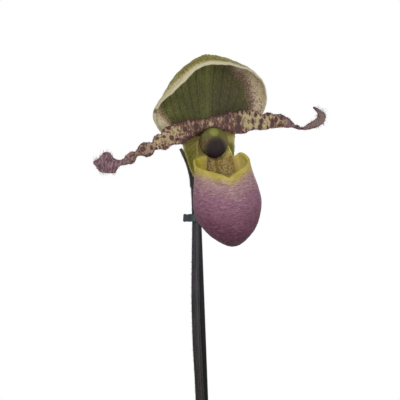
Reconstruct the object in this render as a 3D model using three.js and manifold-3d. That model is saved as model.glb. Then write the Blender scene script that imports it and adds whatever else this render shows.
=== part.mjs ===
// A potted slipper orchid with one open flower, in millimetres. +Z is up and the flower faces -Y.
// The origin is the middle of the pot's underside.

import * as THREE from "three";
import { mergeVertices } from "three/addons/utils/BufferGeometryUtils.js";
import Module from "manifold-3d";

const wasm = await Module();
wasm.setup();

// Driving dimensions
const GAP = 0.3;
const POT = {
  height: 108,
  footRadius: 41,
  neckRadius: 55.5,
  rimRadius: 61,
  rimHeight: 25,
  wall: 5.5,
  floor: 7,
  drainRadius: 5,
  drainRing: 21,
  sides: 36,
};
const BARK = { top: 91, chips: 42, chipLength: 18, chipWidth: 11, chipHeight: 8, seed: 11, clearing: 14, hollow: 25 };
const SHOOTS = [
  { name: "shoot_old", x: 2, y: 8, top: 127, inPlane: 12, across: 6.5, azimuth: 2 },
  { name: "shoot_new", x: -7, y: -26, top: 118, inPlane: 10, across: 5.5, azimuth: -4 },
];
const SHOOT = { bottom: 60, topShare: 0.42, sides: 20 };
// One row a leaf: its shoot, which way it points from the fan's plane, the height of its base, its length and
// greatest width, its elevation at the base and at the tip, how far it swings sideways and how far it rolls.
const LEAVES = [
  { shoot: 0, side: 0, swing: 4, base: 99.5, length: 196, width: 42, rise: 60, fall: -44, roll: 7 },
  { shoot: 0, side: 180, swing: -9, base: 101, length: 204, width: 44, rise: 63, fall: -38, roll: -8 },
  { shoot: 0, side: 0, swing: 22, base: 107, length: 190, width: 43, rise: 70, fall: -10, roll: -9 },
  { shoot: 0, side: 180, swing: -24, base: 112, length: 172, width: 40, rise: 74, fall: -4, roll: 8 },
  { shoot: 0, side: 0, swing: -6, base: 118, length: 112, width: 31, rise: 82, fall: 38, roll: 5 },
  { shoot: 1, side: 0, swing: -26, base: 98, length: 168, width: 39, rise: 58, fall: -46, roll: 8 },
  { shoot: 1, side: 180, swing: 27, base: 100, length: 176, width: 40, rise: 61, fall: -40, roll: -7 },
  { shoot: 1, side: 0, swing: -44, base: 105, length: 150, width: 37, rise: 71, fall: -6, roll: -6 },
  { shoot: 1, side: 180, swing: 12, base: 110, length: 112, width: 32, rise: 79, fall: 26, roll: 6 },
];
const LEAF = { rows: 14, columns: 4, rib: 1.9, edge: 0.8, clasp: 26, foldDeg: 27, flatDeg: 13, tip: 0.36 };

// Where the flower's middle is, and how it is turned on its stalk
const FLOWER = { x: -2, y: -22, z: 345, yawDeg: 15, rollDeg: 7.3 };
const STALK = { radius: 1.45, sides: 10, steps: 24 };
const STALK_LINE = [
  [2, 8, 127.3],
  [-0.6, 8.6, 165],
  [-3.5, 8.5, 210],
  [-5.4, 8, 245.6],
  [-6.5, 7.5, 267],
  [-6.9, 7, 286],
  [-6.8, 6.6, 309],
  [-7.4, 6, 329.5],
];
const STAKE = { radius: 1.5, foot: [4.2, 22, 30], head: [-6.5, 10.1, 314], sides: 12 };
const TIE = { z: 311, height: 3, wall: 0.8, tabLength: 2.4, beadLength: 1.2, beadHeight: 3.4 };

// In the flower's own frame: x to its side, -y forward, z up
const HUB = { z: -2.7, inner: 0.8 };
const OVARY = {
  base: [0, 27.2, -15.2],
  bend: [0, 13, -2.4],
  tip: [0, 5.3, -2.75],
  baseRadius: 1.35,
  middleRadius: 2.2,
  tipRadius: 2.4,
};
const COLUMN = { back: [0, 2.6, -2.8], middle: [0, 1, -2.9], front: [0, -4.4, -4.4], backRadius: 2.6, frontRadius: 2 };
const SHIELD = { y: -5.6, z: -5.6, halfWidth: 5.7, rise: 5.8, drop: 5.9, bulge: 2.9 };
const HOOD = { thickness: 0.8, back: 3.4, leftDeg: -83, rightDeg: 82, rows: 12, columns: 22 };
const BIB = { thickness: 0.8, back: 4.5, spreadDeg: 93, rows: 8, columns: 14 };
const POUCH = { wall: 0.9, middleY: -13.5, tipZ: -45.6, rows: 10, leftEarDrop: 1.3 };
const PETAL = { thickness: 0.8, rows: 48, columns: 4, channel: 0.4, ripple: 0.5, waves: 8.5 };

const rad = THREE.MathUtils.degToRad;
const lerp = THREE.MathUtils.lerp;
const smooth = THREE.MathUtils.smoothstep;
const vec = (x, y, z) => new THREE.Vector3(x, y, z);

function finish(colour, roughness, metalness = 0) {
  return new THREE.MeshStandardMaterial({ color: colour, roughness, metalness });
}

const FINISHES = {
  clay: finish(0xb5683f, 0.9),
  bark: finish(0x5b3b26, 0.95),
  sheath: finish(0x8b9a55, 0.6),
  leaf: finish(0x47702f, 0.45),
  stalk: finish(0x3a2c2c, 0.75),
  stake: finish(0x1d1d21, 0.4),
  tie: finish(0x3f535b, 0.5),
  bract: finish(0x3f4436, 0.7),
  ovary: finish(0x5a4a3a, 0.75),
  hood: finish(0x5c6b35, 0.6),
  bib: finish(0x8f9a3c, 0.6),
  petal: finish(0xc0a890, 0.65),
  pouch: finish(0x9a6484, 0.6),
  column: finish(0xcfc47a, 0.5),
  shield: finish(0x3b2b2c, 0.3),
};

// A smooth curve through [place, value] pairs, read at any place
function profile(pairs) {
  return (at) => {
    const last = pairs.length - 1;
    const clamped = Math.min(Math.max(at, pairs[0][0]), pairs[last][0]);
    let i = 0;
    while (i < last - 1 && clamped > pairs[i + 1][0]) i += 1;
    const slope = (k) => {
      const a = pairs[Math.max(k - 1, 0)];
      const b = pairs[Math.min(k + 1, last)];
      return (b[1] - a[1]) / (b[0] - a[0]);
    };
    const [x0, y0] = pairs[i];
    const [x1, y1] = pairs[i + 1];
    const span = x1 - x0;
    const t = (clamped - x0) / span;
    const a = y0 * (1 + 2 * t) * (1 - t) ** 2 + y1 * t * t * (3 - 2 * t);
    return a + span * t * (1 - t) * (slope(i) * (1 - t) - slope(i + 1) * t);
  };
}

// A closed geometry from points and triangles, turned so that its faces point out
function closedGeometry(points, triangles) {
  let volume = 0;
  for (const [a, b, c] of triangles) volume += points[a].dot(points[b].clone().cross(points[c]));
  const faces = volume < 0 ? triangles.map(([a, b, c]) => [a, c, b]) : triangles;
  const geometry = new THREE.BufferGeometry().setFromPoints(points);
  return geometry.setIndex(faces.flat());
}

// The direction that a surface faces at (u, v), from its neighbouring points
function facing(surface, u, v) {
  const step = 1e-3;
  const along = surface(Math.min(u + step, 1), v).sub(surface(Math.max(u - step, 0), v));
  const across = surface(u, v + step).sub(surface(u, v - step));
  return along.cross(across).normalize();
}

// A thin blade round a middle surface: u runs 0 to 1 along it and v runs -1 to 1 across it
function blade(rows, columns, surface, thickness) {
  const points = [];
  for (const side of [0.5, -0.5]) {
    for (let i = 0; i <= rows; i += 1) {
      for (let j = 0; j <= columns; j += 1) {
        const u = i / rows;
        const v = (2 * j) / columns - 1;
        const offset = facing(surface, u, v).multiplyScalar(side * thickness(u, v));
        points.push(surface(u, v).add(offset));
      }
    }
  }
  const wide = columns + 1;
  const layer = wide * (rows + 1);
  const triangles = [];
  for (let i = 0; i < rows; i += 1) {
    for (let j = 0; j < columns; j += 1) {
      const [a, b, c, d] = [i * wide + j, i * wide + j + 1, (i + 1) * wide + j + 1, (i + 1) * wide + j];
      const halves = j * 2 < columns ? [[a, b, c], [a, c, d]] : [[a, b, d], [b, c, d]];
      for (const [p, q, r] of halves) triangles.push([p, q, r], [p + layer, r + layer, q + layer]);
    }
  }
  const border = [];
  for (let j = 0; j < columns; j += 1) border.push(j);
  for (let i = 0; i < rows; i += 1) border.push(i * wide + columns);
  for (let j = columns; j > 0; j -= 1) border.push(rows * wide + j);
  for (let i = rows; i > 0; i -= 1) border.push(i * wide);
  border.forEach((p, k) => {
    const q = border[(k + 1) % border.length];
    triangles.push([p, p + layer, q], [q, p + layer, q + layer]);
  });
  return closedGeometry(points, triangles);
}

// A closed solid through rings that all have the same number of points
function loft(rings) {
  const around = rings[0].length;
  const points = rings.flat();
  const triangles = [];
  for (let k = 0; k < rings.length - 1; k += 1) {
    for (let j = 0; j < around; j += 1) {
      const [a, b] = [k * around + j, k * around + ((j + 1) % around)];
      triangles.push([a, b, b + around], [a, b + around, a + around]);
    }
  }
  for (const [first, turn] of [[0, 1], [(rings.length - 1) * around, -1]]) {
    const middle = points.slice(first, first + around).reduce((sum, p) => sum.add(p), vec(0, 0, 0));
    points.push(middle.divideScalar(around));
    for (let j = 0; j < around; j += 1) {
      const [a, b] = [first + j, first + ((j + 1) % around)];
      triangles.push(turn > 0 ? [a, points.length - 1, b] : [a, b, points.length - 1]);
    }
  }
  return closedGeometry(points, triangles);
}

// A round rod along a line, with a radius that may change along it
function rod(curve, steps, sides, radius) {
  const frames = curve.computeFrenetFrames(steps, false);
  const rings = [];
  for (let i = 0; i <= steps; i += 1) {
    const centre = curve.getPointAt(i / steps);
    const ring = [];
    for (let j = 0; j < sides; j += 1) {
      const turn = (2 * Math.PI * j) / sides;
      const out = frames.normals[i].clone().multiplyScalar(Math.cos(turn));
      out.addScaledVector(frames.binormals[i], Math.sin(turn));
      ring.push(centre.clone().addScaledVector(out, radius(i / steps, turn)));
    }
    rings.push(ring);
  }
  return loft(rings);
}

function curveThrough(points) {
  return new THREE.CatmullRomCurve3(points.map((p) => vec(...p)), false, "centripetal");
}

// Booleans
function toSolid(geometry) {
  const bare = geometry.clone();
  bare.deleteAttribute("normal");
  bare.deleteAttribute("uv");
  const merged = mergeVertices(bare, 1e-4);
  const vertProperties = merged.attributes.position.array;
  const triVerts = new Uint32Array(merged.index.array);
  return new wasm.Manifold(new wasm.Mesh({ numProp: 3, vertProperties, triVerts }));
}

// The outer skin of the largest body: hollows that joining sealed are filled, and loose scraps are dropped
function largestBody(solid) {
  return solid.decompose().reduce((a, b) => (b.volume() > a.volume() ? b : a));
}

function toGeometry(solid) {
  const mesh = largestBody(solid).getMesh();
  const geometry = new THREE.BufferGeometry();
  geometry.setAttribute("position", new THREE.BufferAttribute(mesh.vertProperties, 3));
  return geometry.setIndex(new THREE.BufferAttribute(mesh.triVerts, 1));
}

function seededDraws(seed) {
  let state = seed;
  return () => {
    state = (state * 1664525 + 1013904223) % 4294967296;
    return state / 4294967296;
  };
}

// Pot
function potInnerRadius(z) {
  const foot = POT.footRadius - POT.wall;
  return foot + ((POT.neckRadius - POT.footRadius) * (z - POT.floor)) / (POT.height - POT.floor);
}

function potGeometry() {
  const ledge = POT.height - POT.rimHeight;
  const inside = potInnerRadius(POT.height);
  const outline = [
    [0, 0],
    [POT.footRadius - 1.5, 0],
    [POT.footRadius, 1.5],
    [POT.neckRadius, ledge],
    [POT.rimRadius - 1.2, ledge + 1],
    [POT.rimRadius, ledge + 3],
    [POT.rimRadius + 0.6, POT.height - 4],
    [POT.rimRadius - 0.6, POT.height - 0.8],
    [POT.rimRadius - 2.6, POT.height],
    [inside + 1.6, POT.height],
    [inside, POT.height - 1.6],
    [potInnerRadius(POT.floor + 4), POT.floor + 4],
    [potInnerRadius(POT.floor) - 4, POT.floor],
    [0, POT.floor],
  ];
  const shell = new THREE.LatheGeometry(outline.map(([r, z]) => new THREE.Vector2(r, z)), POT.sides);
  shell.rotateX(Math.PI / 2);
  let pot = toSolid(shell);
  for (let k = 0; k < 3; k += 1) {
    const turn = rad(90 + 120 * k);
    const drill = new THREE.CylinderGeometry(POT.drainRadius, POT.drainRadius, 4 * POT.floor, 14);
    drill.rotateX(Math.PI / 2);
    drill.translate(POT.drainRing * Math.cos(turn), POT.drainRing * Math.sin(turn), 0);
    pot = pot.subtract(toSolid(drill));
  }
  return toGeometry(pot);
}

// The bark that fills the pot: a plug with seeded chips sunk in its top, and a plain hole for each stem
function barkGeometry() {
  const clear = 2 * GAP;
  const low = POT.floor + GAP;
  const outline = [
    [0, low],
    [potInnerRadius(POT.floor) - 5, low],
    [potInnerRadius(POT.floor + 5) - clear, POT.floor + 5],
    [potInnerRadius(BARK.top) - clear, BARK.top],
    [0, BARK.top + 1.5],
  ];
  const filling = (points) => {
    const turned = new THREE.LatheGeometry(points.map(([r, z]) => new THREE.Vector2(r, z)), POT.sides);
    return toSolid(turned.rotateX(Math.PI / 2));
  };
  let bark = filling(outline);
  const draw = seededDraws(BARK.seed);
  const reach = potInnerRadius(BARK.top) - clear - BARK.chipLength / 2;
  const goldenTurn = Math.PI * (3 - Math.sqrt(5));
  for (let k = 0; k < BARK.chips; k += 1) {
    const size = 0.7 + 0.45 * draw();
    const [long, wide, high] = [BARK.chipLength, BARK.chipWidth, BARK.chipHeight].map((d) => d * size);
    const chip = new THREE.BoxGeometry(long * (0.8 + 0.4 * draw()), wide, high);
    chip.rotateX(rad(50 * (draw() - 0.5)));
    chip.rotateY(rad(36 * (draw() - 0.5)));
    chip.rotateZ(2 * Math.PI * draw());
    const out = reach * Math.sqrt((k + 0.5) / BARK.chips);
    const [x, y] = [out * Math.cos(k * goldenTurn), out * Math.sin(k * goldenTurn)];
    const nearest = Math.min(...SHOOTS.map((shoot) => Math.hypot(x - shoot.x, y - shoot.y)));
    chip.translate(x, y, BARK.top + 0.2 + 2.2 * draw() - (nearest < BARK.hollow ? 2.8 : 0));
    if (nearest > BARK.clearing) bark = bark.add(toSolid(chip));
  }
  const lid = POT.height + 5;
  bark = bark.intersect(filling([...outline.slice(0, 3), [potInnerRadius(lid) - clear, lid], [0, lid]]));
  SHOOTS.forEach((shoot) => {
    bark = bark.subtract(toSolid(shootGeometry(shoot, 2 * GAP)));
  });
  bark = bark.subtract(toSolid(stakeGeometry(2 * GAP)));
  return toGeometry(bark);
}

// Shoots and leaves
// How wide a shoot's oval is at a height: its share of the size at the bark
function shootShare(shoot, z) {
  const up = Math.max((z - BARK.top) / (shoot.top - BARK.top), 0);
  return lerp(1, SHOOT.topShare, up ** 0.8);
}

function shootGeometry(shoot, grow = 0) {
  const levels = [SHOOT.bottom - grow, BARK.top, BARK.top + 12, BARK.top + 24, shoot.top - 1.5];
  const rings = [...levels, shoot.top].map((z, k) => {
    const share = shootShare(shoot, z) * (k === levels.length && !grow ? 0.72 : 1);
    const ring = [];
    for (let j = 0; j < SHOOT.sides; j += 1) {
      const turn = (2 * Math.PI * j) / SHOOT.sides;
      const a = (share * shoot.inPlane + grow) * Math.cos(turn);
      const b = (share * shoot.across + grow) * Math.sin(turn);
      const lean = rad(shoot.azimuth);
      const x = shoot.x + a * Math.cos(lean) - b * Math.sin(lean);
      const y = shoot.y + a * Math.sin(lean) + b * Math.cos(lean);
      ring.push(vec(x, y, grow && k === levels.length ? z + 20 : z));
    }
    return ring;
  });
  return loft(rings);
}

// The leaf's midrib: how far out and how high it is at a share u of its length
function midrib(leaf, u) {
  const steps = 40;
  let [out, up] = [0, 0];
  for (let k = 0; k < steps; k += 1) {
    const angle = rad(lerp(leaf.rise, leaf.fall, ((u * (k + 0.5)) / steps) ** 0.9));
    out += ((u * leaf.length) / steps) * Math.cos(angle);
    up += ((u * leaf.length) / steps) * Math.sin(angle);
  }
  return [out, up, rad(lerp(leaf.rise, leaf.fall, u ** 0.9))];
}

function leafHalfWidth(leaf, u) {
  const opened = lerp(0.4, 1, smooth(u, 0, 0.48));
  const toTip = Math.max((u - (1 - LEAF.tip)) / LEAF.tip, 0);
  return 0.5 * leaf.width * opened * Math.max((1 - toTip ** 2.2) ** 0.72, 0.04);
}

function leafSurface(leaf) {
  const shoot = SHOOTS[leaf.shoot];
  const share = shootShare(shoot, leaf.base);
  const clear = GAP + 0.35 + LEAF.rib / 2;
  const [deep, wide] = [share * shoot.inPlane + clear, share * shoot.across + clear];
  return (u, v) => {
    const [out, up, angle] = midrib(leaf, u);
    const half = leafHalfWidth(leaf, u);
    const turn = v * 1.25;
    const opening = smooth(u * leaf.length, 0, LEAF.clasp * 1.8);
    const fold = rad(lerp(LEAF.foldDeg, LEAF.flatDeg, smooth(u, 0.05, 0.5)));
    const softRib = Math.sqrt(v * v + 0.01) - 0.1;
    let across = lerp(wide * Math.sin(turn), half * v * Math.cos(fold), opening);
    let above = lerp(deep * (1 - Math.cos(turn)) * 0.8, half * softRib * Math.sin(fold), opening);
    const droop = smooth(u, 0.25, 1) * Math.sin(u * 9 + leaf.length) * 0.06 * half * v;
    above += droop;
    const roll = rad(leaf.roll) * smooth(u, 0.1, 0.9);
    [across, above] = [
      across * Math.cos(roll) - above * Math.sin(roll),
      across * Math.sin(roll) + above * Math.cos(roll),
    ];
    const heading = rad(shoot.azimuth + leaf.side + leaf.swing * smooth(u, 0, 1));
    const radial = deep + out - above * Math.sin(angle);
    const x = shoot.x + radial * Math.cos(heading) - across * Math.sin(heading);
    const y = shoot.y + radial * Math.sin(heading) + across * Math.cos(heading);
    return vec(x, y, leaf.base + up + above * Math.cos(angle));
  };
}

function leafGeometry(leaf) {
  const thickness = (u, v) => lerp(LEAF.rib, LEAF.edge, Math.abs(v) ** 0.7) * lerp(1, 0.7, u);
  return blade(LEAF.rows, LEAF.columns, leafSurface(leaf), thickness);
}

// Stalk, stake and tie
const stalkCurve = curveThrough(STALK_LINE);

function stalkGeometry() {
  const round = (share) => STALK.radius * (share > 0.999 ? 0.55 : 1);
  return rod(stalkCurve, STALK.steps, STALK.sides, round);
}

function stakeGeometry(grow = 0) {
  const [foot, head] = [vec(...STAKE.foot), vec(...STAKE.head)];
  foot.addScaledVector(head.clone().sub(foot).normalize(), -grow);
  return rod(new THREE.LineCurve3(foot, head), 1, STAKE.sides, () => STAKE.radius + grow);
}

function lineAtHeight(line, z) {
  const next = line.findIndex((p) => p[2] >= z);
  const [a, b] = [line[next - 1], line[next]];
  const share = (z - a[2]) / (b[2] - a[2]);
  return [lerp(a[0], b[0], share), lerp(a[1], b[1], share)];
}

// A band round stalk and stake together, with a tab that points to the flower's left
function tieGeometry() {
  const [ax, ay] = lineAtHeight(STALK_LINE, TIE.z);
  const [bx, by] = lineAtHeight([STAKE.foot, STAKE.head], TIE.z);
  const axis = Math.atan2(by - ay, bx - ax);
  const apart = Math.hypot(bx - ax, by - ay);
  const slot = (radius) => {
    const shape = new THREE.Shape();
    shape.absarc(0, 0, radius, Math.PI / 2, 1.5 * Math.PI);
    shape.absarc(apart, 0, radius, -Math.PI / 2, Math.PI / 2);
    return shape;
  };
  const solidOf = (shape, height) => {
    const extruded = new THREE.ExtrudeGeometry(shape, { depth: height, bevelEnabled: false, curveSegments: 7 });
    return toSolid(extruded.rotateZ(axis).translate(ax, ay, TIE.z - height / 2));
  };
  const inner = STALK.radius + GAP;
  let band = solidOf(slot(inner + TIE.wall), TIE.height);
  const tab = new THREE.BoxGeometry(TIE.tabLength + 1, 1.3, TIE.height - 0.6);
  tab.translate(ax - inner - TIE.wall - TIE.tabLength / 2 + 0.6, ay, TIE.z);
  const bead = new THREE.BoxGeometry(TIE.beadLength, 2, TIE.beadHeight);
  bead.translate(ax - inner - TIE.wall - TIE.tabLength + 0.8, ay, TIE.z);
  band = band.add(toSolid(tab)).add(toSolid(bead));
  return toGeometry(band.subtract(solidOf(slot(inner), 3 * TIE.height)));
}

// The boat-shaped bract that clasps the stalk's last joint and points away to the left
function bractGeometry() {
  const line = curveThrough([[-7.1, 6.3, 323], [-7.4, 6.1, 328], [-8.6, 5.7, 332], [-12.6, 4.6, 338.2]]);
  const hug = STALK.radius + GAP + 0.4;
  const radius = profile([[0, hug], [0.45, hug + 0.1], [0.7, 1.5], [1, 0.5]]);
  const shift = profile([[0, 0], [0.45, 0], [0.7, 0.1], [1, 0]]);
  const away = vec(-0.72, 0.69, 0);
  const surface = (u, v) => {
    const ahead = line.getTangentAt(u);
    const out = away.clone().addScaledVector(ahead, -away.dot(ahead)).normalize();
    const side = out.clone().cross(ahead);
    const turn = 1.5 * v;
    const centre = line.getPointAt(u).addScaledVector(out, shift(u));
    centre.addScaledVector(side, radius(u) * Math.sin(turn));
    return centre.addScaledVector(out, radius(u) * Math.cos(turn));
  };
  return blade(9, 6, surface, () => 0.6);
}

// Flower
function ovaryGeometry() {
  const [base, bend, tip] = [OVARY.base, OVARY.bend, OVARY.tip].map((p) => vec(...p));
  const line = new THREE.QuadraticBezierCurve3(base, bend, tip);
  const swell = profile([[0, OVARY.baseRadius], [0.6, OVARY.middleRadius], [1, OVARY.tipRadius]]);
  return rod(line, 10, 12, (share, turn) => swell(share) * (1 + 0.07 * Math.cos(6 * turn)));
}

function columnGeometry() {
  const line = curveThrough([COLUMN.back, COLUMN.middle, COLUMN.front]);
  return rod(line, 4, 16, (share) => lerp(COLUMN.backRadius, COLUMN.frontRadius, share));
}

// The outline of the shield in front of the column: round above, and drawn to a blunt point below
function shieldOutline(turn) {
  const below = Math.max(-Math.sin(turn), 0);
  const x = SHIELD.halfWidth * Math.cos(turn) * (1 - 0.16 * below ** 2);
  const z = Math.sin(turn) > 0 ? SHIELD.rise * Math.sin(turn) : SHIELD.drop * Math.sin(turn);
  return [x, z];
}

function shieldGeometry() {
  const shares = [0.12, 0.4, 0.66, 0.86, 0.97, 1];
  const ring = (share, depth) => {
    const points = [];
    for (let j = 0; j < 24; j += 1) {
      const [x, z] = shieldOutline((2 * Math.PI * j) / 24);
      points.push(vec(share * x, SHIELD.y - depth, SHIELD.z + share * z));
    }
    return points;
  };
  const rings = shares.map((share) => ring(share, SHIELD.bulge * Math.sqrt(Math.max(1 - share ** 2.2, 0.05))));
  rings.push(ring(0.94, -0.1), ring(0.3, -0.15));
  return loft(rings);
}

// A sepal that spreads like a fan round the hub, with angles in degrees. Each rib of the fan is a curve from the
// hub to the rim: rib(angle) gives its four control points, each as how far out and how far back it is.
function fanGeometry(sepal, fromDeg, toDeg, rib) {
  const surface = (u, v) => {
    const angle = lerp(fromDeg, toDeg, (v + 1) / 2);
    const [a, b, c, d] = rib(angle);
    const share = [(1 - u) ** 3, 3 * u * (1 - u) ** 2, 3 * u * u * (1 - u), u ** 3];
    const mix = (k) => share[0] * a[k] + share[1] * b[k] + share[2] * c[k] + share[3] * d[k];
    return vec(mix(0) * Math.sin(rad(angle)), mix(1), HUB.z + mix(0) * Math.cos(rad(angle)));
  };
  return blade(sepal.rows, sepal.columns, surface, () => sepal.thickness);
}

// The hood: its crown turns over to the front, its sides only lean, and its lowest corners stay behind the petals
const hoodCrown = profile([
  [-83, 16.7], [-72, 20.6], [-62, 23.8], [-46, 23.9], [-33, 24.4], [-12, 28.4], [0, 31], [10, 30.4], [22, 29.4],
  [46, 29], [60, 27.6], [72, 24.2], [82, 18.8],
]);
const hoodRim = profile([
  [-83, 16.3], [-68, 21.2], [-58, 23.6], [-40, 23], [-28, 23.4], [-8, 26.2], [4, 26.9], [24, 26.9], [42, 27.8],
  [58, 27.4], [72, 24], [82, 18.6],
]);
const hoodRimY = profile([
  [-83, 2], [-68, -0.4], [-50, -7], [-38, -11.2], [-20, -14.4], [0, -15.2], [20, -14.4], [46, -8.6], [64, -2.6], [82, 2.2],
]);

function hoodGeometry() {
  const rib = (angle) => {
    const [crown, rim, rimY] = [hoodCrown(angle), hoodRim(angle), hoodRimY(angle)];
    return [
      [HUB.inner, HOOD.back],
      [0.62 * crown, HOOD.back + 1],
      [crown + 2.1 * (crown - rim), lerp(HOOD.back, rimY, 0.42)],
      [rim, rimY],
    ];
  };
  return fanGeometry(HOOD, HOOD.leftDeg, HOOD.rightDeg, rib);
}

// The two lower sepals, grown together behind the pouch
const bibReach = profile([
  [0, 26], [10, 23], [18, 19.5], [25, 17], [32, 15.3], [43, 13.2], [58, 11.3], [75, 10.5], [95, 10.6],
]);

function bibGeometry() {
  const rib = (angle) => {
    const reach = bibReach(Math.abs(angle - 180));
    return [
      [HUB.inner, BIB.back],
      [0.4 * reach, BIB.back + 0.8],
      [0.75 * reach, BIB.back],
      [reach, BIB.back - 3.2],
    ];
  };
  return fanGeometry(BIB, 180 - BIB.spreadDeg, 180 + BIB.spreadDeg, rib);
}

// Petals: waved ribbons that twist near the end. The widths and twists are at shares of the length.
const PETALS = {
  petal_left: {
    line: [
      [-0.5, -0.4, 2],
      [-5.6, -1.6, 1.3],
      [-11.8, -2.2, -0.2],
      [-17.2, -2.6, -1.3],
      [-19.4, -2.9, -2.5],
      [-22.6, -2.9, -3.2],
      [-24.6, -3, -4.6],
      [-27.4, -2.9, -4.7],
      [-30.2, -2.8, -6.2],
      [-34.5, -2.4, -7.9],
      [-37.8, -2, -8.7],
      [-41.6, -1.5, -7.5],
      [-45.7, -0.8, -7.3],
    ],
    halfWidth: [
      [0, 2.1], [0.1, 3], [0.24, 4], [0.35, 3.7], [0.41, 3.1], [0.45, 3.4], [0.51, 2.4], [0.56, 3], [0.61, 2.2],
      [0.65, 1.8], [0.71, 2.4], [0.76, 1.7], [0.8, 1.5], [0.84, 2.5], [0.88, 3.7], [0.92, 3.7], [0.97, 1.6], [1, 0.3],
    ],
    twist: [[0, 0], [0.6, 0], [0.65, 34], [0.69, 5], [0.74, -45], [0.79, -54], [0.84, 0], [1, 0]],
  },
  petal_right: {
    line: [
      [0.5, -0.4, 2.1],
      [6.8, -1.6, 2],
      [12.2, -2.1, 1.2],
      [17.5, -2.6, 1.2],
      [21.1, -2.7, 0],
      [24.6, -2.9, 0.3],
      [29.4, -2.9, -0.9],
      [33.9, -2.7, -3.4],
      [38.3, -2.2, -4],
      [41.9, -1.8, -3.2],
      [44.6, -1.4, -0.7],
      [43.1, -0.8, 3],
    ],
    halfWidth: [
      [0, 2.2], [0.12, 3.2], [0.23, 4.5], [0.32, 4.1], [0.38, 3.4], [0.415, 2.8], [0.45, 3.2], [0.54, 2.7], [0.62, 1.8],
      [0.69, 1.5], [0.77, 1.5], [0.87, 2.2], [0.93, 2.1], [0.98, 1], [1, 0.3],
    ],
    twist: [[0, 0], [0.58, 6], [0.64, 45], [0.69, 92], [0.74, 140], [0.79, 175], [1, 182]],
  },
};

function petalSurface(petal) {
  const line = curveThrough(petal.line);
  const halfWidth = profile(petal.halfWidth);
  const twist = profile(petal.twist);
  return (u, v) => {
    const centre = line.getPointAt(u);
    const ahead = line.getTangentAt(u);
    const front = vec(0, -1, 0).addScaledVector(ahead, ahead.y).normalize();
    const up = front.clone().cross(ahead).normalize();
    if (petal.line[1][0] < 0) up.negate();
    const turn = rad(twist(u));
    const across = up.clone().multiplyScalar(Math.cos(turn)).addScaledVector(front, Math.sin(turn));
    const face = front.multiplyScalar(Math.cos(turn)).addScaledVector(up, -Math.sin(turn));
    const waves = smooth(u, 0.06, 0.25) * (1 - smooth(u, 0.9, 1));
    const phase = 2 * Math.PI * PETAL.waves * u + (v > 0 ? 0 : 2);
    const ripple = PETAL.ripple * waves * Math.sin(phase) * Math.abs(v) ** 1.5 + PETAL.channel * (1 - v * v);
    return centre.addScaledVector(across, halfWidth(u) * v).addScaledVector(face, ripple);
  };
}

function petalGeometry(petal) {
  return blade(PETAL.rows, PETAL.columns, petalSurface(petal), () => PETAL.thickness);
}

// Pouch: a slipper whose rim is notched in front, has an ear at each side and climbs behind to the hub
const pouchWidth = profile([
  [-45.6, 0.4], [-45.2, 2], [-44, 4.1], [-42, 6.5], [-40, 8.4], [-37, 10.6], [-33, 12.3], [-29, 13], [-24, 12.5],
  [-19, 11.4], [-15, 10.7], [-10, 10.6],
]);
const pouchFront = profile([
  [-45.6, 0.4], [-45.2, 1.9], [-44, 3.8], [-42, 5.8], [-38, 8.5], [-33, 10.3], [-28, 10.5], [-23, 9], [-19, 7.6],
  [-15, 7], [-10, 6.6],
]);
const pouchBack = profile([
  [-45.6, 0.4], [-45.2, 1.8], [-44, 3.5], [-42, 5.2], [-38, 7.5], [-33, 9.4], [-28, 10.2], [-22, 9.8], [-17, 9.2],
  [-13, 9.8], [-9, 11.4], [-6, 12.8], [-3, 14],
]);
// How high the rim is at each angle from the front: a notch, an ear, a dip and then a shoulder beside the column
const rimHeight = profile([
  [0, -20.6], [12, -19.8], [30, -18], [48, -16.8], [62, -15.8], [74, -14.6], [84, -13.4], [94, -12.1], [104, -10.9],
  [114, -10.4], [124, -11.2], [133, -12.6], [141, -12.6], [146, -11.2], [151, -8], [156, -5], [161, -4.2],
  [166, -5.2], [172, -6.2], [180, -6.3],
]);
const POUCH_STOPS = [0, 14, 28, 44, 59, 72, 84, 95, 106, 117, 127, 136, 143, 149, 154, 160, 166, 172, 180];

function pouchPoint(u, turnDeg) {
  const side = Math.abs(((turnDeg + 540) % 360) - 180);
  const hand = Math.sin(rad(turnDeg)) < 0 ? -1 : 1;
  const climb = lerp(u * u, u, 0.25 + 0.5 * u);
  const drop = hand < 0 ? POUCH.leftEarDrop * Math.exp(-(((side - 100) / 26) ** 2)) : 0;
  const z = lerp(POUCH.tipZ, rimHeight(side) - drop, climb);
  const turn = rad(side);
  const ear = Math.exp(-(((side - 98) / 24) ** 2)) * smooth(u, 0.7, 1);
  const round = lerp(0.9, 0.62, smooth(side, 110, 150) * smooth(z, -24, -14));
  const x = hand * (pouchWidth(z) * Math.sin(turn) ** round + 0.9 * ear);
  const depth = side < 90 ? -pouchFront(z) : pouchBack(z);
  const y = POUCH.middleY + depth * Math.abs(Math.cos(turn)) ** 0.95 - 1.1 * ear;
  return vec(x, y, z);
}

// The same point on the inside of the wall
function pouchInside(u, turnDeg) {
  const place = pouchPoint(u, turnDeg);
  const depth = place.y < POUCH.middleY ? pouchFront(place.z) : pouchBack(place.z);
  const low = Math.min(place.z + 29, 0) / 17 ** 2;
  const out = vec(place.x / pouchWidth(place.z) ** 2, (place.y - POUCH.middleY) / depth ** 2, low);
  return place.addScaledVector(out.normalize(), -POUCH.wall);
}

function pouchGeometry() {
  const others = POUCH_STOPS.slice(1, -1).reverse().map((stop) => 360 - stop);
  const turns = [...POUCH_STOPS, ...others];
  const levels = [0.035];
  for (let i = 1; i <= POUCH.rows; i += 1) levels.push(i / POUCH.rows);
  const outer = levels.map((u) => turns.map((turn) => pouchPoint(u, turn)));
  const inner = levels.slice(1).map((u) => turns.map((turn) => pouchInside(u, turn)));
  return loft([...outer, ...inner.reverse()]);
}

const plant = new THREE.Group();

function addNode(parent, name, geometry, material) {
  const mesh = new THREE.Mesh(geometry, material);
  mesh.name = name;
  parent.add(mesh);
  return mesh;
}

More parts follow.
